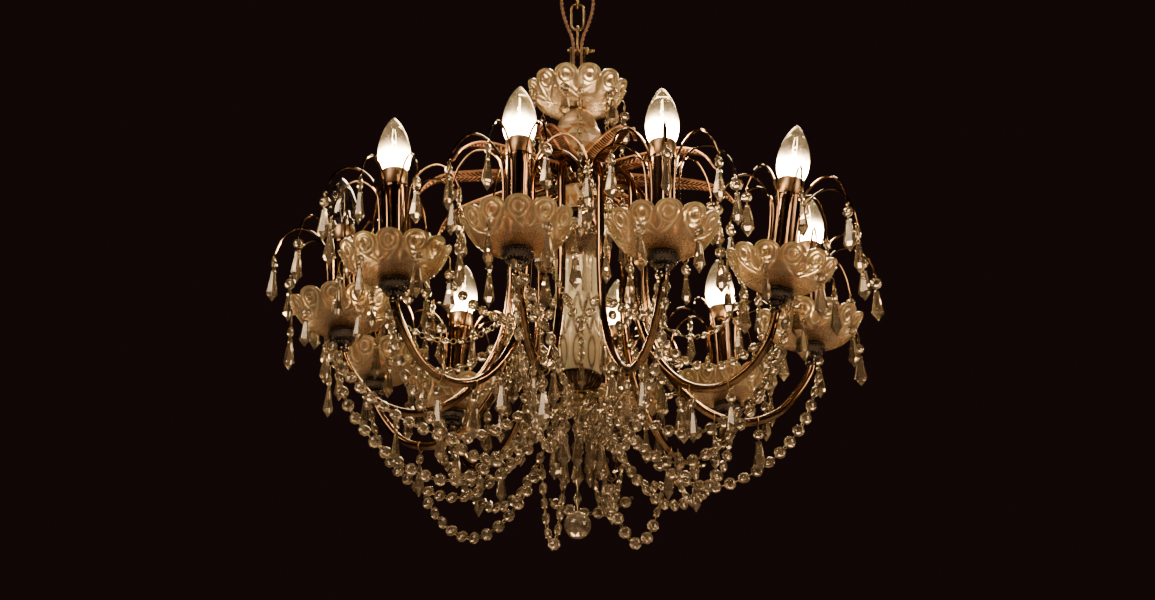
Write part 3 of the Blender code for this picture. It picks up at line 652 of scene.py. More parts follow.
def build_links():
    """Round-ended wire links, each with a thicker weld on one side."""
    for name, (low, high) in LINKS.items():
        across = BACK if name == "lower" else RIGHT
        path = []
        for centre, start in ((high - LINK_HALF_WIDTH, 0), (low + LINK_HALF_WIDTH, 180)):
            for i in range(17):
                angle = radians(start + 180 * i / 16)
                path.append(centre * UP + LINK_HALF_WIDTH * (cos(angle) * across + sin(angle) * UP))
        link = tube(path, LINK_WIRE, 12, closed=True)
        weld = curve([path[16] + 3 * UP * k - 8 * UP for k in (-0.4, 0, 0.4)], 4)
        link.stamp(tube(weld, [1.5, 1.65, 1.8, 1.85, 1.85, 1.8, 1.7, 1.6, 1.5], 12))
        piece(f"chain_link_{name}_wire", link, [brass], f"link_{name}", "brass", f"chain_link_{name}")


def build_yoke():
    """Two legs on a round foot, strips with a rounded top and eased edges, and a thumb screw across."""
    yoke = turned([(5.4, YOKE_FOOT), (10.5, YOKE_FOOT), (11, YOKE_FOOT + 0.6), (11, YOKE_FOOT + 2),
                   (10.4, YOKE_FOOT + 2.6), (5.4, YOKE_FOOT + 2.6)], 40, closed=True)
    edge = [(-YOKE_HALF_WIDTH, YOKE_FOOT + 1), (YOKE_HALF_WIDTH, YOKE_FOOT + 1)]
    for i in range(17):
        angle = pi * i / 16
        edge.append((YOKE_HALF_WIDTH * cos(angle), BOLT_HEIGHT + YOKE_HALF_WIDTH * sin(angle)))
    middle = (YOKE_FOOT + BOLT_HEIGHT) / 2
    ease = 0.35
    for side in (-1, 1):
        leg = []
        for depth, inset in ((0, ease), (ease, 0), (YOKE_THICKNESS - ease, 0), (YOKE_THICKNESS, ease)):
            leg += [(side * (YOKE_INNER + depth), y * (1 - inset / YOKE_HALF_WIDTH),
                     middle + (h - middle) * (1 - inset / 45)) for y, h in edge]
        yoke.add(leg, grid_faces(4, len(edge)))
    fixture("hanger_yoke_legs", yoke, brass, "brass", "hanger_yoke")

    def knurled(r, h, angle):
        return (r * (1 + 0.04 * cos(14 * angle)) if r > 3.5 else r), h

    thread = [(2.2 if i % 2 else 1.95, -11.2 + 0.5 * i) for i in range(42)]
    bolt = turned([(0.2, -12), (1.9, -11.6)] + thread
                  + [(2.3, 9.3), (4, 9.3), (4.3, 9.8), (4.3, 12), (3.9, 12.6), (1.9, 13.4), (1.7, 19.4),
                     (1.2, 20.3), (0.2, 20.3)], 42, knurled)
    bolt = Shape().stamp(bolt, at((0, 0, BOLT_HEIGHT)) @ ON_EDGE)
    fixture("yoke_thumb_screw", bolt, brass, "brass", "yoke_bolt")


def twisted_cores(centre):
    """Paths of two cores that wind round each other along a centre line."""
    winds = ([], [])
    for p, way, travelled in zip(centre, ways(centre), distances(centre)):
        across = way.cross(BACK).normalized()
        angle = tau * travelled / FLEX_LAY
        offset = FLEX_CORE * 0.9 * (cos(angle) * across + sin(angle) * way.cross(across))
        winds[0].append(p + offset)
        winds[1].append(p - offset)
    return winds


def build_flex():
    """Two strands, each of two cores twisted together. They bend from the yoke, past both links, into the
    rose, so each one is made in three stretches that meet inside each other's ends."""
    stretches = (  # name, lowest and highest height, the bodies below and above
        ("low", 298, 392, "chandelier", "link_lower"),
        ("mid", 392, 425, "link_lower", "link_upper"),
        ("top", 425, 487, "link_upper", "ceiling"),
    )
    for strand, side in (("left", -1), ("right", 1)):
        centre = curve([(side * x, y + 0.2 * side, h) for x, y, h in FLEX_ROUTE], 8)
        winds = twisted_cores(centre)
        for name, low, high, below, above in stretches:
            inside = [i for i, p in enumerate(centre) if low - 2 <= p.z <= high + 2]
            shape = Shape()
            for wind in winds:
                shape.stamp(tube([wind[i] for i in inside], FLEX_CORE, 8))
            item = bare_piece(f"flex_{strand}_{name}", shape, [flex_brown])
            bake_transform(item)
            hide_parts("supply_flex")


# ---- pressed-glass bowls


def heart_lines(centre_height):
    """Relief of two neighbouring lobes, as lines in (arc, height) millimetres: two rings in each lobe, whose
    outer line runs down to meet its neighbour's in a heart."""
    lines = []
    for side in (-1, 1):
        for radius in (10.2, 5.2):
            lines.append([(side * LOBE_ARC / 2 + radius * cos(a), centre_height + radius * sin(a))
                          for a in np.linspace(0, tau, 25).tolist()])
        for line in (((24, 0), (22.5, -7), (16, -14), (7, -20), (0, -27)),
                     ((3.6, 0), (5.4, -6), (6.4, -11), (4, -16), (0, -18))):
            lines.append([(side * x, centre_height + y) for x, y in line])
    return lines


def relief(x, y, lines, width):
    """1 on the lines, falling to 0 a width away."""
    nearest = np.full(x.shape, 1e9)
    for line in lines:
        for (ax, ay), (bx, by) in zip(line, line[1:]):
            dx, dy = bx - ax, by - ay
            t = np.clip(((x - ax) * dx + (y - ay) * dy) / (dx * dx + dy * dy), 0, 1)
            nearest = np.minimum(nearest, np.hypot(x - ax - t * dx, y - ay - t * dy))
    return np.exp(-((nearest / width) ** 2))


def bowl(hole):
    """Pressed-glass bowl about its foot: a frosted dish, and twelve upright lobes with rings and hearts in
    relief on the outside."""
    columns = LOBES * 36
    profile = spline([(hole, 0.2), (24, 1.5), (35, 4.2), (42.5, 9.5), (48, 17.5), (52.3, 26),
                      (56.3, BOWL_DEPTH)], 8)
    lengths = np.concatenate([[0], np.cumsum([dist(a, b) for a, b in zip(profile, profile[1:])])])
    radii, heights = np.array(profile).T
    angle = np.linspace(0, tau, columns, endpoint=False)
    across = (angle * LOBES / tau) % 1 * 2 - 1  # -1 to 1 over each lobe
    notch = 11 * (1 - np.sqrt(1 - 0.95 * across**2))
    reach = lengths[-1] - notch
    share = np.concatenate([np.linspace(0, 0.33, 8), np.linspace(0.35, 1, 44)])[:, None]
    s = share * reach[None, :]
    r = np.interp(s, lengths, radii)
    h = np.interp(s, lengths, heights)
    pair = (angle * LOBES / tau / 2) % 1 * 2 - 1  # -1 to 1 over each pair of lobes
    x = np.broadcast_to(pair * LOBE_ARC, s.shape)
    y = s - lengths[-1] + BOWL_DEPTH
    ridges = relief(x, y, heart_lines(BOWL_DEPTH - 12.2), 1.0) * np.clip((s - 20) / 6, 0, 1)
    raised = np.maximum(ridges, np.exp(-(((reach[None, :] - s) / 1.5) ** 2)))
    bulge = 1.6 * np.clip(1 - (np.abs(across) ** 4), 0, 1) * np.clip((s - 34) / 14, 0, 1)
    # frosted ground, clear on the raised lines and the rim; the frosting also deepens the colour, as painted
    # shade between the raised lines
    frost = np.clip(0.62 + 0.3 * np.clip(1 - (s - 20) / 10, 0, 1) - 0.62 * raised, 0, 1)
    # radii, heights and frosting of the rings, from the foot out to the rim and back in
    rings = [(r + 1.5 * raised + bulge, h, frost)]
    rings.append((r[-1:] + 0.2, h[-1:] + 0.8, frost[-1:]))
    rings.append((r[-1:] - BOWL_WALL * 0.8, h[-1:] + 0.2, frost[-1:]))
    back = np.linspace(1, 0, 12)[1:, None]
    level = back * reach[None, :]
    inner = np.maximum(np.interp(level, lengths, radii) - BOWL_WALL * 0.75, hole)
    lift = BOWL_WALL * (1 - 0.75 * back)
    rings.append((inner, np.interp(level, lengths, heights) + lift, 0 * level + 0.45))
    radius, height, value = (np.concatenate([part[k] for part in rings]) for k in range(3))
    points = np.stack([radius * np.cos(angle), radius * np.sin(angle), height], axis=-1).reshape(-1, 3)
    return Shape().add(points.tolist(), grid_faces(len(radius), columns, closed=True),
                       values=value.ravel().tolist())


def rim_drops(matrix, first):
    """Wire hook in every other lobe, with an eyelet, a bead and a kite drop."""
    shape = Shape()
    for i in range(0, LOBES, 2):
        angle = tau * (i + first + 0.5) / LOBES
        out = Vector((cos(angle), sin(angle), 0))
        outside = matrix @ (57.6 * out + 20.5 * UP)
        way = (matrix.to_3x3() @ out).normalized()
        hook = [matrix @ (r * out + h * UP) for r, h in ((47.5, 21), (51.5, 23), (56.2, 23))]
        shape.stamp(tube(curve(hook + [outside - 1.8 * UP, outside - 4 * UP - way], 4), 0.55, 6, slot=1))
        centre = outside - 6.2 * UP
        shape.stamp(EYELET, at(centre) @ facing(way) @ ON_EDGE)
        hang_drop(shape, centre - 2.8 * UP, drop=SHORT_DROP if chance.random() < 0.3 else DROP)
    return shape


# ---- centre stack


def flutes(count, depth, low, high):
    """Upright flutes between two heights, fading out at both ends."""
    def change(r, h, angle):
        fade = max(0.0, sin(pi * (h - low) / (high - low))) if low < h < high else 0.0
        return r - depth * fade ** 0.5 * abs(sin(count * angle / 2)), h
    return change


def diamonds(count, depth, low, high):
    """Crossing slanted grooves between two heights."""
    def change(r, h, angle):
        if not low < h < high:
            return r, h
        up = (h - low) / (high - low)
        return r - depth * min(1.0, 4 * up, 4 * (1 - up)) * slants(count, angle, up) ** 6, h
    return change


def slants(count, angle, up):
    """1 on two crossing sets of slanted lines, where up runs from 0 to 1 over their band."""
    return max(abs(cos(count * angle / 2 + up * pi)), abs(cos(count * angle / 2 - up * pi)))


def build_column():
    thread = [(STEM_RADIUS - 0.3 * (i % 2), STEM_TOP - 0.9 * i) for i in range(1, 10)]
    tip = [(7.2, -0.3), (8, -1), (8, -4.6), (6.5, -6.2), (3.2, -8)]
    outline = [(3.6, 262), (3.6, STEM_TOP), (STEM_RADIUS, STEM_TOP)] + thread
    outline += [(STEM_RADIUS, 292), (STEM_RADIUS, DISH_BOTTOM - 0.3)] + [(r, DISH_BOTTOM + h) for r, h in tip]
    outline += [(2.4, EYE_HEIGHT + 5), (0.2, EYE_HEIGHT + 3.4), (0.2, 262)]
    stem = turned(outline, 40, closed=True)
    stem.stamp(tube(circle(EYE_HEIGHT * UP, EYE_RADIUS, RIGHT, UP, 24), EYE_WIRE, 10, closed=True))
    stem.stamp(facets([(6.2, 301, 0), (6.8, 301.8, 0), (6.8, 304.2, 0), (6.2, 305, 0)], 6))
    fixture("threaded_stem", stem, brass, "brass", "stem")

    on_cap = at((0, 0, CAP_TOP + 0.15))
    top = Shape().stamp(bowl(5.4), on_cap)
    fixture("top_bowl_glass", top, pressed, "pressed_glass", "top_bowl", crease=60)
    beadwork("top_bowl_drops", rim_drops(on_cap, 0))

    cap = turned([(5.4, 267.3), (24.3, 267.3), (24.9, 268), (24.6, 269.2)]
                 + spline([(24, 270), (22.8, 276), (18.6, 285.5), (12, 292.5)], 5) + [(5.4, 292.8)], 64)
    fixture("satin_ball_cap", cap, satin_gold, "satin_brass", "ball_cap")

    ball = facets([(17, 236.3, 0), (20.5, 237.4, 0), (27, 243, 1), (30.8, 251, 0), (30.4, 258.5, 1),
                   (27.6, 264.6, 0), (26, 266.9, 0)], 16)
    fixture("cut_glass_ball", ball, cut_glass, "crystal", "glass_ball", crease=10)

    outline = [(5.6, 224), (18, 223), (27, 216), (32, 209.6), (34.4, 210), (33.5, 214), (30.5, 221),
               (22.5, 230), (14, 235.2), (5.6, 235.8)]
    canopy = turned(outline, 20, closed=True, smooth=False)
    fixture("umbrella_glass", canopy, cut_glass, "crystal", "glass_canopy", crease=10)

    hub = turned([(5.4, 194), (25, 194), (27, 194.3), (28.2, 196), (30, 197), (30.2, 199.5), (29.4, 201.5),
                  (30, 203.2), (29, 204), (5.4, 204)], 64)
    ferrule = turned([(5.6, 28.6), (6.4, 29.2), (6.4, 34), (5.2, 35.2)], 20)
    for light in LIGHTS:
        hub.stamp(ferrule, at((0, 0, 199)) @ facing(bearing(light.azimuth)) @ ON_EDGE)
    fixture("arm_hub_bronze", hub, dark_bronze, "dark_bronze", "arm_hub")

    bell = facets([(12.2, 163.3, 0), (13.4, 165, 0), (14.4, 169, 1), (17.8, 178, 0), (19.7, 187, 1),
                   (16.6, 193.4, 0), (14, 193.7, 0)], 12)
    fixture("bell_glass", bell, cut_glass, "crystal", "column_bell", crease=10)

    neck = turned([(5.4, 122.3), (20.6, 122.3), (21.2, 123.2), (20.6, 124.4), (21, 126), (21, 135),
                   (21.6, 136.4), (22.2, 137.2), (21.6, 138.4), (18, 139.4)]
                  + spline([(13, 140.4), (9.8, 144.5), (9.4, 149), (10, 153.4)], 4)
                  + [(15, 156), (17.6, 157.6), (19, 159.8), (18.4, 161.6), (16.5, 162.8), (5.4, 162.9)], 64)
    fixture("neck_and_collar", neck, dark_bronze, "dark_bronze", "vase_collar")


def build_vase():
    """Open vase: flutes and stippled panels by turns above, a band of cut diamonds, and a frosted lower part
    with a lens in each panel."""
    outside = spline([(26.4, VASE_BOTTOM + 0.4), (27.6, -20), (28.2, 8), (26.2, 30), (25.2, 52), (25.4, 76),
                      (27.2, 98), (32, 111), (39.3, VASE_TOP - 1.2)], 14)
    inside = spline([(37.4, VASE_TOP - 1), (30, 111), (24.4, 98), (22, 76), (21.6, 52), (22.5, 30), (24.4, 8),
                     (24, -20), (22, -27)], 4)
    middle_heights, middle_radii = (-38, 8, 50, 98, 111, 122), (24.6, 26.2, 23.4, 25.8, 31, 38.4)
    panels, slanted, lenses = 14, 12, 10  # cuts round the vase in each of its three bands
    lens_top, slant_top, lip, panel_top = 4, 54, 99, 104
    cuts = (flutes(panels, 2.0, 46, 119), diamonds(slanted, 2.2, lens_top, slant_top),
            flutes(lenses, 1.2, -37, 5))

    def is_outside(r, h):
        return r > float(np.interp(h, middle_heights, middle_radii))

    def change(r, h, angle):
        if is_outside(r, h):
            for cut in cuts:
                r, h = cut(r, h, angle)
        return r, h

    def tone(r, h, angle):
        """Painted shade along each cut line and round each lens; deep also in the stippled panels, over the
        lip and a little over the frosted foot.
        """
        if not is_outside(r, h):
            return 0.0
        if h < lens_top:
            # painted shade along each lens's outline
            across, up = (lenses / 2 * angle / pi) % 1 * 2 - 1, (h + 17) / 17
            return 0.15 + 0.7 * exp(-((hypot(across / 0.55, up) - 1) / 0.2) ** 2)
        if h < slant_top:
            # painted shade down the slanted grooves
            return slants(slanted, angle, (h - lens_top) / (slant_top - lens_top)) ** 7
        # painted shade: a dark line on the sharp edge between two flutes
        edge = exp(-(sin(panels / 2 * angle) / 0.24) ** 2)
        stippled = h < panel_top and int(panels * angle / tau) % 2
        stipple = 0.6 * (sin(91 * angle) * sin(2.9 * h) + 0.7) if stippled else 0.0
        return min(1.0, max(edge, stipple, 0.95 * (h > lip)))

    outline = [(5.5, VASE_BOTTOM), (25, VASE_BOTTOM)] + outside + [(38.6, VASE_TOP - 0.4)] + inside
    outline.append((5.5, -28))
    vase = turned(outline, 280, change, closed=True, value=tone)
    fixture("cut_glass_vase", vase, vase_glass, "crystal", "centre_vase", crease=50)

    ribs = 28

    def ribbed(r, h, angle):
        return r + (0.9 * abs(cos(ribs / 2 * angle)) - 0.6) * (r > 10), h

    outline = [(5.4, DISH_BOTTOM), (8, DISH_BOTTOM), (11, -58.4)]
    outline += spline([(15, -56.5), (20, -52.4), (24.5, -46.5), (27.3, -41.2)], 4)
    dish = turned(outline + [(27.5, -39.4), (26.8, -38.5), (5.4, -38.4)], 224, ribbed)
    fixture("fluted_base_dish", dish, dark_bronze, "dark_bronze", "base_dish")
    raised = Shape()
    for i in range(ribs):
        rib = ((11.5, -58.6), (16.5, -56.6), (21, -52.6), (25.4, -46.4), (27.9, -41))
        raised.stamp(tube([polar(360 * i / ribs, r, h) for r, h in rib], [0.35, 0.5, 0.6, 0.6, 0.4], 6))
    fixture("base_dish_ribs", raised, copper, "copper")


def build_leaves():
    """A leaf over each arm, like a feather: a spine, slanting barbs on both sides and a corded edge."""
    stations = curve([(14, 0, 205.4), (24, 0, 206.2), (40, 0, 207.8), (70, 0, 204.4), (110, 0, 201),
                      (150, 0, 196), (173, 0, 184), (187, 0, 163.5)], 40)
    lengths = distances(stations)
    across = [k / 15 for k in range(-15, 16)]
    points, values = [], []
    for p, way, s in zip(stations, ways(stations), lengths):
        normal = Vector((-way.z, 0, way.x)).normalized()
        half = LEAF_HALF_WIDTH * sin(pi * min(1.0, 0.07 + s / lengths[-1]) ** 0.85) ** 0.75 + 1.6
        half = min(half, 5 + 1.2 * s)
        top, bottom, groove_shade = [], [], []
        for a in across:
            wave = cos(tau * (s - 0.9 * half * abs(a)) / LEAF_BARB)
            barbed = 0.09 < abs(a) < 0.88
            cord = 0.9 if abs(a) > 0.9 else 1.0 if abs(a) < 0.05 else 0.0
            lift = (0.95 * wave * barbed + cord - LEAF_HOLLOW * (1 - abs(a)) * abs(a)) * min(1, half / 8)
            place = p + half * a * BACK
            top.append(place + (lift + 0.7) * normal)
            bottom.append(place + (lift * 0.95 - 0.7) * normal)
            # painted shade: deep in each barb's groove, light on its crest
            groove_shade.append(0.5 - 0.5 * wave if barbed else 0.1)
        points += top + bottom[::-1]
        values += groove_shade + groove_shade[::-1]
    leaf = Shape().add(points, grid_faces(len(stations), 2 * len(across)), values=values)
    for number, light in NUMBERED_LIGHTS:
        replaces = ["leaf_crown"] if number == 1 else []
        turned_leaf = Shape().stamp(leaf, facing(bearing(light.azimuth)))
        fixture(f"feather_leaf_{number}", turned_leaf, leaf_copper, "copper", *replaces, crease=50)
    boss = [(5.5, 204.4), (22, 204.4), (23.5, 205.2), (22, 206.6), (14, 208.4), (5.5, 208.6)]
    fixture("leaf_boss", turned(boss, 48, closed=True), leaf_copper, "copper")


# ---- lights


def drip_cup():
    """Stepped cup with three rows of beading."""
    def beaded(r, h, angle):
        return r * (1 + 0.03 * cos(24 * angle)) if -9 < h < -5 and r > 13 else r, h

    bead = facets([(0.5, -1.5, 0), (1.2, -1.1, 1), (1.6, 0, 0), (1.2, 1.1, 1), (0.5, 1.5, 0)], 8)
    bead.smooth = [True] * len(bead.smooth)
    cup = turned([(4.6, -26), (5.8, -25), (6.4, -22.5), (5.6, -20.5), (6.2, -18.5), (8.6, -17), (8.8, -15.4),
                  (7.6, -14.6), (10.8, -13.6), (11.4, -12), (10.4, -11.2), (13.4, -9.8), (14.6, -8),
                  (15.6, -6.6), (15.2, -5), (14.4, -4.4), (16.5, -3), (16.5, -1.2), (15.8, -0.3),
                  (4.6, -0.3)], 72, beaded)
    for radius, height, count, shift in ((15.6, -5.6, 26, 0), (11.9, -11.2, 20, 0.5), (8.6, -15.6, 14, 0)):
        for i in range(count):
            angle = tau * (i + shift) / count
            cup.stamp(bead, at((radius * cos(angle), radius * sin(angle), height)))
    return cup


def candle_sleeve():
    """Hollow sleeve with a ridge, and a band of its second material round the lamp holder at its top."""
    band_low = 105
    outline = [(4, 0.2), (13.4, 0.2), (SLEEVE_RADIUS, 0.8), (SLEEVE_RADIUS, 101.5), (13.95, 102),
               (13.95, 104),
               (SLEEVE_RADIUS, 104.4), (SLEEVE_RADIUS, band_low), (14.1, 105.6), (14.1, 121.6), (13.6, 122.9),
               (13.0, 122.9), (12.8, 122), (12.75, 114), (7.6, 112.4), (7.6, HOLDER_FLOOR),
               (0.2, HOLDER_FLOOR)]
    sleeve = turned(outline, 48)
    for i, face in enumerate(sleeve.faces):
        if len(face) == 4 and sleeve.points[face[0]][2] > band_low:
            sleeve.slots[i] = 1
    return sleeve


def build_arm(number, light, matrix):
    path = [polar(light.azimuth, r, h) for r, h in ARM_ROUTE]
    path += [matrix @ Vector((0, 0, h)) for h in (-30, -16)]
    fixture(f"arm_{number}_tube", tube(curve(path, 7), TUBE_RADIUS, 18), copper, "copper", f"arm_{number}")
    fixture(f"drip_cup_{number}", Shape().stamp(CUP, matrix), black_bronze, "dark_bronze")
    sleeve = Shape().stamp(SLEEVE, matrix)
    piece(f"candle_sleeve_{number}", sleeve, [bronze, tan_band], "chandelier", "copper")


def build_bobeche(number, matrix):
    fixture(f"bobeche_glass_{number}", Shape().stamp(BOBECHE, matrix), pressed, "pressed_glass",
            f"bobeche_{number}", crease=60)
    beadwork(f"bobeche_drops_{number}", rim_drops(matrix, number % 2))


def build_spray(number, light, matrix):
    """Collar with eight wires that rise along the sleeve, arch over and carry a bead and a kite drop each."""
    out = bearing(light.azimuth)
    first = radians(light.spray_turn) - atan2(out.y, out.x)
    collar = [(14.4, 4.6), (16.6, 4.6), (17.4, 5.4), (17.4, 8.4), (16.6, 9), (14.4, 9)]
    wires = Shape().stamp(turned(collar, 40, closed=True), matrix)
    drops = Shape()
    for i in range(SPRAY_WIRES):
        angle = first + tau * i / SPRAY_WIRES
        way = Vector((cos(angle), sin(angle), 0))
        wobble = chance.uniform(-1.5, 1.5)
        path = curve([matrix @ (r * way + (h + wobble * (40 < h < 119)) * UP) for r, h in SPRAY_ARCH], 5)
        wires.stamp(tube(path, [WIRE_RADIUS] * (len(path) - 3) + [1.0, 0.85, 0.7], 8))
        tip = path[-1]
        world_way = (matrix.to_3x3() @ way).normalized()
        curl = [tip + 1.7 * (cos(a) * world_way + sin(a) * UP) - 1.7 * UP
                for a in np.linspace(1.6, 7, 11).tolist()]
        wires.stamp(tube(curl, 0.6, 6))
        hang_drop(drops, tip - 3.0 * UP, SMALL_BEAD if i % 3 else BEAD)
    fixture(f"spray_wires_{number}", wires, copper, "copper", f"spray_{number}")
    beadwork(f"spray_drops_{number}", drops, slot="crystal_sprays")


def build_lamp(number, matrix):
    """Candle lamp: a thin glass bulb with its screw cap, the glass stem and the filament posts inside."""
    lit = number != UNLIT
    outside = spline([(7.0, 111), (8.8, 116), (12.6, 123), (16, 131), (17.5, 141), (16.8, 152), (14.1, 163),
                      (9.9, 173), (4.6, 181.6), (0.3, 185.9)], 5)
    inside = [(max(r - 0.7, 0.2), h - (0.7 if h > 170 else 0)) for r, h in reversed(outside)]

    def glare(r, h, angle):
        return 0.001 + 1 / (1 + exp((h - GLARE_TOP) / GLARE_FADE)) if lit else 0.0

    bulb = turned(outside + inside, 40, closed=True, value=glare)
    slot = "lamp_lit" if lit else "lamp_unlit"
    body = f"lamp_{number}"
    bulb_glass = lit_glass if lit else unlit_glass
    piece(f"lamp_glass_{number}", Shape().stamp(bulb, matrix), [bulb_glass], body, slot, body)

    thread = [(6.7 + 0.3 * cos(i * pi / 2), 90 + 0.55 * i) for i in range(34)]
    inner = turned([(0.2, 86.4), (2.8, 86.5), (3.2, 88.4)] + thread
                   + [(7.0, 109.5), (7.2, 111.5), (6.2, 112), (0.2, 112)], 32)
    glass_stem = [(0.2, 112), (3.4, 112), (2.6, 120), (1.6, 130), (1.2, 138), (0.2, 138.5)]
    inner.stamp(turned(glass_stem, 16, slot=1))
    for side in (-1, 1):
        post = curve([(side * x, 0, h) for x, h in ((1, 134), (2.2, 146), (2.6, 160), (1.4, 172))], 5)
        inner.stamp(tube(post, 0.32, 6, slot=2))
    turns = np.linspace(0, 2 * tau, 40).tolist()
    coil = [(2.4 * cos(a), 1.6 * sin(a), 146 + 1.9 * a / 1.6) for a in turns]
    inner.stamp(tube(coil, 0.7 if lit else 0.3, 6, slot=2))
    materials = [nickel, unlit_glass, filament if lit else nickel]
    piece(f"lamp_inside_{number}", Shape().stamp(inner, matrix), materials, body, slot)


# ---- bead strings


def sagging(start, end, lowest, steps=18):
    """Points of a string that hangs between two points down to a third."""
    control = 2 * lowest - (start + end) / 2
    return [(1 - t) ** 2 * start + 2 * t * (1 - t) * control + t * t * end
            for t in (i / steps for i in range(steps + 1))]


def build_garland():
    """Wire ring under the base dish, strings out to the arms' ends, loops below and a middle cluster."""
    ring = circle(BEAD_RING_HEIGHT * UP, BEAD_RING_RADIUS, -BACK, RIGHT, 96)
    wire = tube(ring, 0.9, 8, slot=1, closed=True)
    for azimuth in range(0, 360, 60):
        spoke = [polar(azimuth, 7.8, DISH_BOTTOM - 3.4), polar(azimuth, BEAD_RING_RADIUS, BEAD_RING_HEIGHT)]
        wire.stamp(tube(spoke, 0.7, 6, slot=1))
    beadwork("garland_ring", wire, "bead_garland")

    for number, light in NUMBERED_LIGHTS:
        lower, upper = [], []
        behind = max(0.0, bearing(light.azimuth).y)
        for i, (r, h) in enumerate(DRAPE):
            share = sin(pi * i / (len(DRAPE) - 1))
            lower.append(polar(light.azimuth, r, h + 18 * behind * share))
            rise = 40 * share + (4 if i > 4 else 0)
            upper.append(polar(light.azimuth + 10 * share, r - 4 * share, h + rise))
        string = bead_string(Shape(), curve(lower, 8))
        if number % 2:
            bead_string(string, curve(upper, 8))
        beadwork(f"garland_string_{number}", string)

    for number, loop in enumerate(LOOPS, start=1):
        beadwork(f"bead_loop_{number}", bead_string(Shape(), sagging(*(polar(*place) for place in loop))))

    cluster = Shape()
    top = DISH_BOTTOM - 8.5
    # two rings of strings, clear of the ball's string as it swings
    for radius, count, turn, beads in ((14, 2, 90, 3), (26, 10, 0, 2)):
        for i in range(count):
            azimuth = turn + 360 * i / count + chance.uniform(-7, 7)
            length = beads * BEAD + chance.uniform(-4, 6)
            bead_string(cluster, [polar(azimuth, radius, top - length * k / 10) for k in range(11)])
            hang_drop(cluster, polar(azimuth, radius, top - length), BEAD)
    beadwork("bottom_cluster", cluster)


def build_arm_drops():
    """Beads and kites that hang from the low curves of each arm."""
    ring = hoop(TUBE_RADIUS + 1.0, 0.5, 16, 5)
    for number, light in NUMBERED_LIGHTS:
        drops = Shape()
        turn = spin(radians(90 + light.azimuth))
        for radius, height in ((90, -14), (112, -56), (150, -90), (198, -94)):
            place = polar(light.azimuth, radius, height)
            side = UP.cross(bearing(light.azimuth)) * chance.choice((-1, 1))
            drops.stamp(ring, at(place + 3 * UP) @ turn @ ON_EDGE)
            hang_drop(drops, place - 3.2 * UP + 0.5 * side)
        beadwork(f"arm_drops_{number}", drops)


def build_swags():
    """Small strings: from the arms' bobeches in to the column, round the vase, and down from the top bowl."""
    azimuths = sorted(light.azimuth for light in LIGHTS)
    gaps = list(zip(azimuths, azimuths[1:] + [azimuths[0] + 360]))
    for number, (a, b) in enumerate(gaps, start=1):
        middle = (a + b) / 2
        path = curve([polar(a + 4, 82, 26), polar(a + (b - a) * 0.28, 79, 6), polar(middle, 78, -3),
                      polar(a + (b - a) * 0.72, 79, 6), polar(b - 4, 82, 26)], 8)
        swag = bead_string(Shape(), path, SMALL_BEAD, SMALL_PITCH)
        linked_string(swag, [polar(middle, 78, -5 - k) for k in range(0, 31, 3)], 15.0)
        hang_drop(swag, polar(middle, 78, -36), drop=SHORT_DROP)
        beadwork(f"waist_swag_{number}", swag)
    for number, light in NUMBERED_LIGHTS:
        route = ((5, 205, 8), (9, 168, -14), (11, 128, -12), (5, 84, 20))
        path = curve([polar(light.azimuth + turn, r, h) for turn, r, h in route], 8)
        string = Shape()
        if number % 2:
            linked_string(string, path)
        else:
            bead_string(string, path, SMALL_BEAD, SMALL_PITCH)
        beadwork(f"inner_string_{number}", string)
    for number, step in enumerate((0, 2, 4, 5, 7, 9), start=1):
        top = polar(sum(gaps[step]) / 2, 57, CAP_TOP + 4)
        string = bead_string(Shape(), [top, top - 30 * UP], SMALL_BEAD, 14.4)
        linked_string(string, [top - (32 + k) * UP for k in range(0, 106, 3)])
        hang_drop(string, top - 140 * UP)
        beadwork(f"top_string_{number}", string)


def build_ball():
    """Faceted ball on a short string, with its wire loop in the stem's eye."""
    loop_height = EYE_HEIGHT - 2 * EYE_RADIUS + 2 * EYE_WIRE + 0.3
    ball = tube(circle(loop_height * UP, EYE_RADIUS, BACK, UP, 24), EYE_WIRE, 8, slot=1, closed=True)
    top = loop_height - EYE_RADIUS
    ball.stamp(tube([(0, 0, top + 0.5), (0, 0, -150), (0, 0, -194)], 0.6, 8, slot=1))
    for height in np.arange(top - 5, -146, -9.2).tolist():
        ball.stamp(BEADS[TINY_BEAD], at((0, 0, height)) @ spin(height) @ ON_END)
    for height in (-157, -179):
        ball.stamp(facets([(1, -9, 0), (5.5, 0, 1), (1, 9, 0)], 8, depth=0.6), at((0, 0, height)))
    latitudes = np.linspace(-pi / 2, pi / 2, 11).tolist()
    rows = [(max(0.4, BALL_RADIUS * cos(a)), BALL_RADIUS * sin(a), i % 2) for i, a in enumerate(latitudes)]
    ball.stamp(facets(rows, 14), at((0, 0, BALL_HEIGHT)))
    piece("crystal_ball_cut", ball, GLASS_SET, "crystal_ball", "crystal", "crystal_ball", crease=20)


# ---- studio


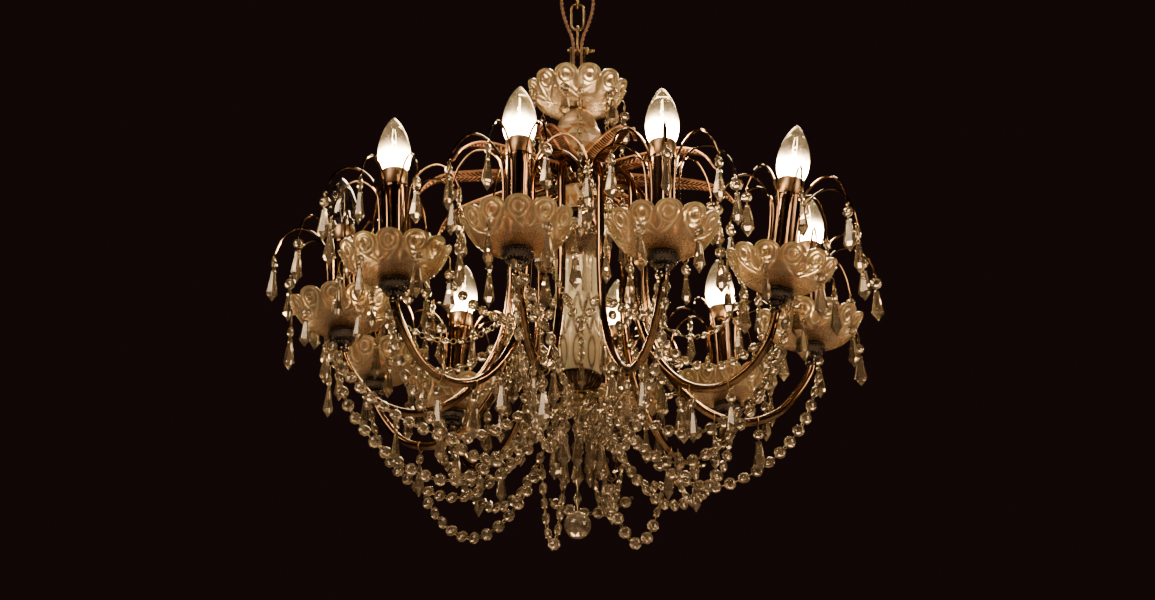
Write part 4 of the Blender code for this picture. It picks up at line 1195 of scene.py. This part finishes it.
def add_area(name, place, size, power, colour):
    """Soft light of a size in metres, aimed at the middle of the chandelier."""
    light = bpy.data.lights.new(name, "AREA")
    light.shape = "RECTANGLE"
    light.size, light.size_y = size
    light.energy = power
    light.color = colour
    placed(name, light, place, LIGHT_AIM)


def build_studio():
    material, tree, shader = principled("pale_floor", Roughness=0.85)
    tone = ramp(tree, noise(tree, 3.0), ((0.3, (0.62, 0.6, 0.57)), (0.7, (0.66, 0.64, 0.61))))
    connect(tree, shader, Base_Color=tone)
    mesh = bpy.data.meshes.new("floor")
    signs = ((-1, -1), (1, -1), (1, 1), (-1, 1))
    corners = [(x * FLOOR_REACH, y * FLOOR_REACH, FLOOR_LEVEL) for x, y in signs]
    mesh.from_pydata(corners, [], [(0, 1, 2, 3)])
    mesh.materials.append(material)
    floor = placed("floor", mesh)

    add_area("key_light", (-1.9, -2.4, 0.9), (1.7, 1.7), 96, (1.0, 0.73, 0.47))
    add_area("fill_light", (2.6, -1.6, -0.2), (1.2, 1.6), 62, (1.0, 0.7, 0.44))
    add_area("back_light", (0.5, 1.9, 1.8), (1.6, 1.1), 100, (1.0, 0.72, 0.45))
    world = bpy.data.worlds.new("studio")
    world.use_nodes = True
    background = world.node_tree.nodes["Background"]
    background.inputs["Color"].default_value = (0.009, 0.0038, 0.0038, 1)
    background.inputs["Strength"].default_value = 1.0
    bpy.context.scene.world = world

    camera = bpy.data.cameras.new("camera")
    camera.lens = 62.0
    camera.sensor_width = 36.0
    bpy.context.scene.camera = placed("camera", camera, CAMERA_PLACE, CAMERA_AIM)


# ---- the whole chandelier

build_ceiling()
build_links()
build_yoke()
build_flex()
build_column()
build_vase()
build_leaves()
CUP = drip_cup()
SLEEVE = candle_sleeve()
BOBECHE = bowl(SLEEVE_RADIUS + 0.6)
for number, light in NUMBERED_LIGHTS:
    matrix = light_frame(light)
    build_arm(number, light, matrix)
    build_bobeche(number, matrix)
    build_spray(number, light, matrix)
    build_lamp(number, matrix)
build_garland()
build_arm_drops()
build_swags()
build_ball()
build_studio()
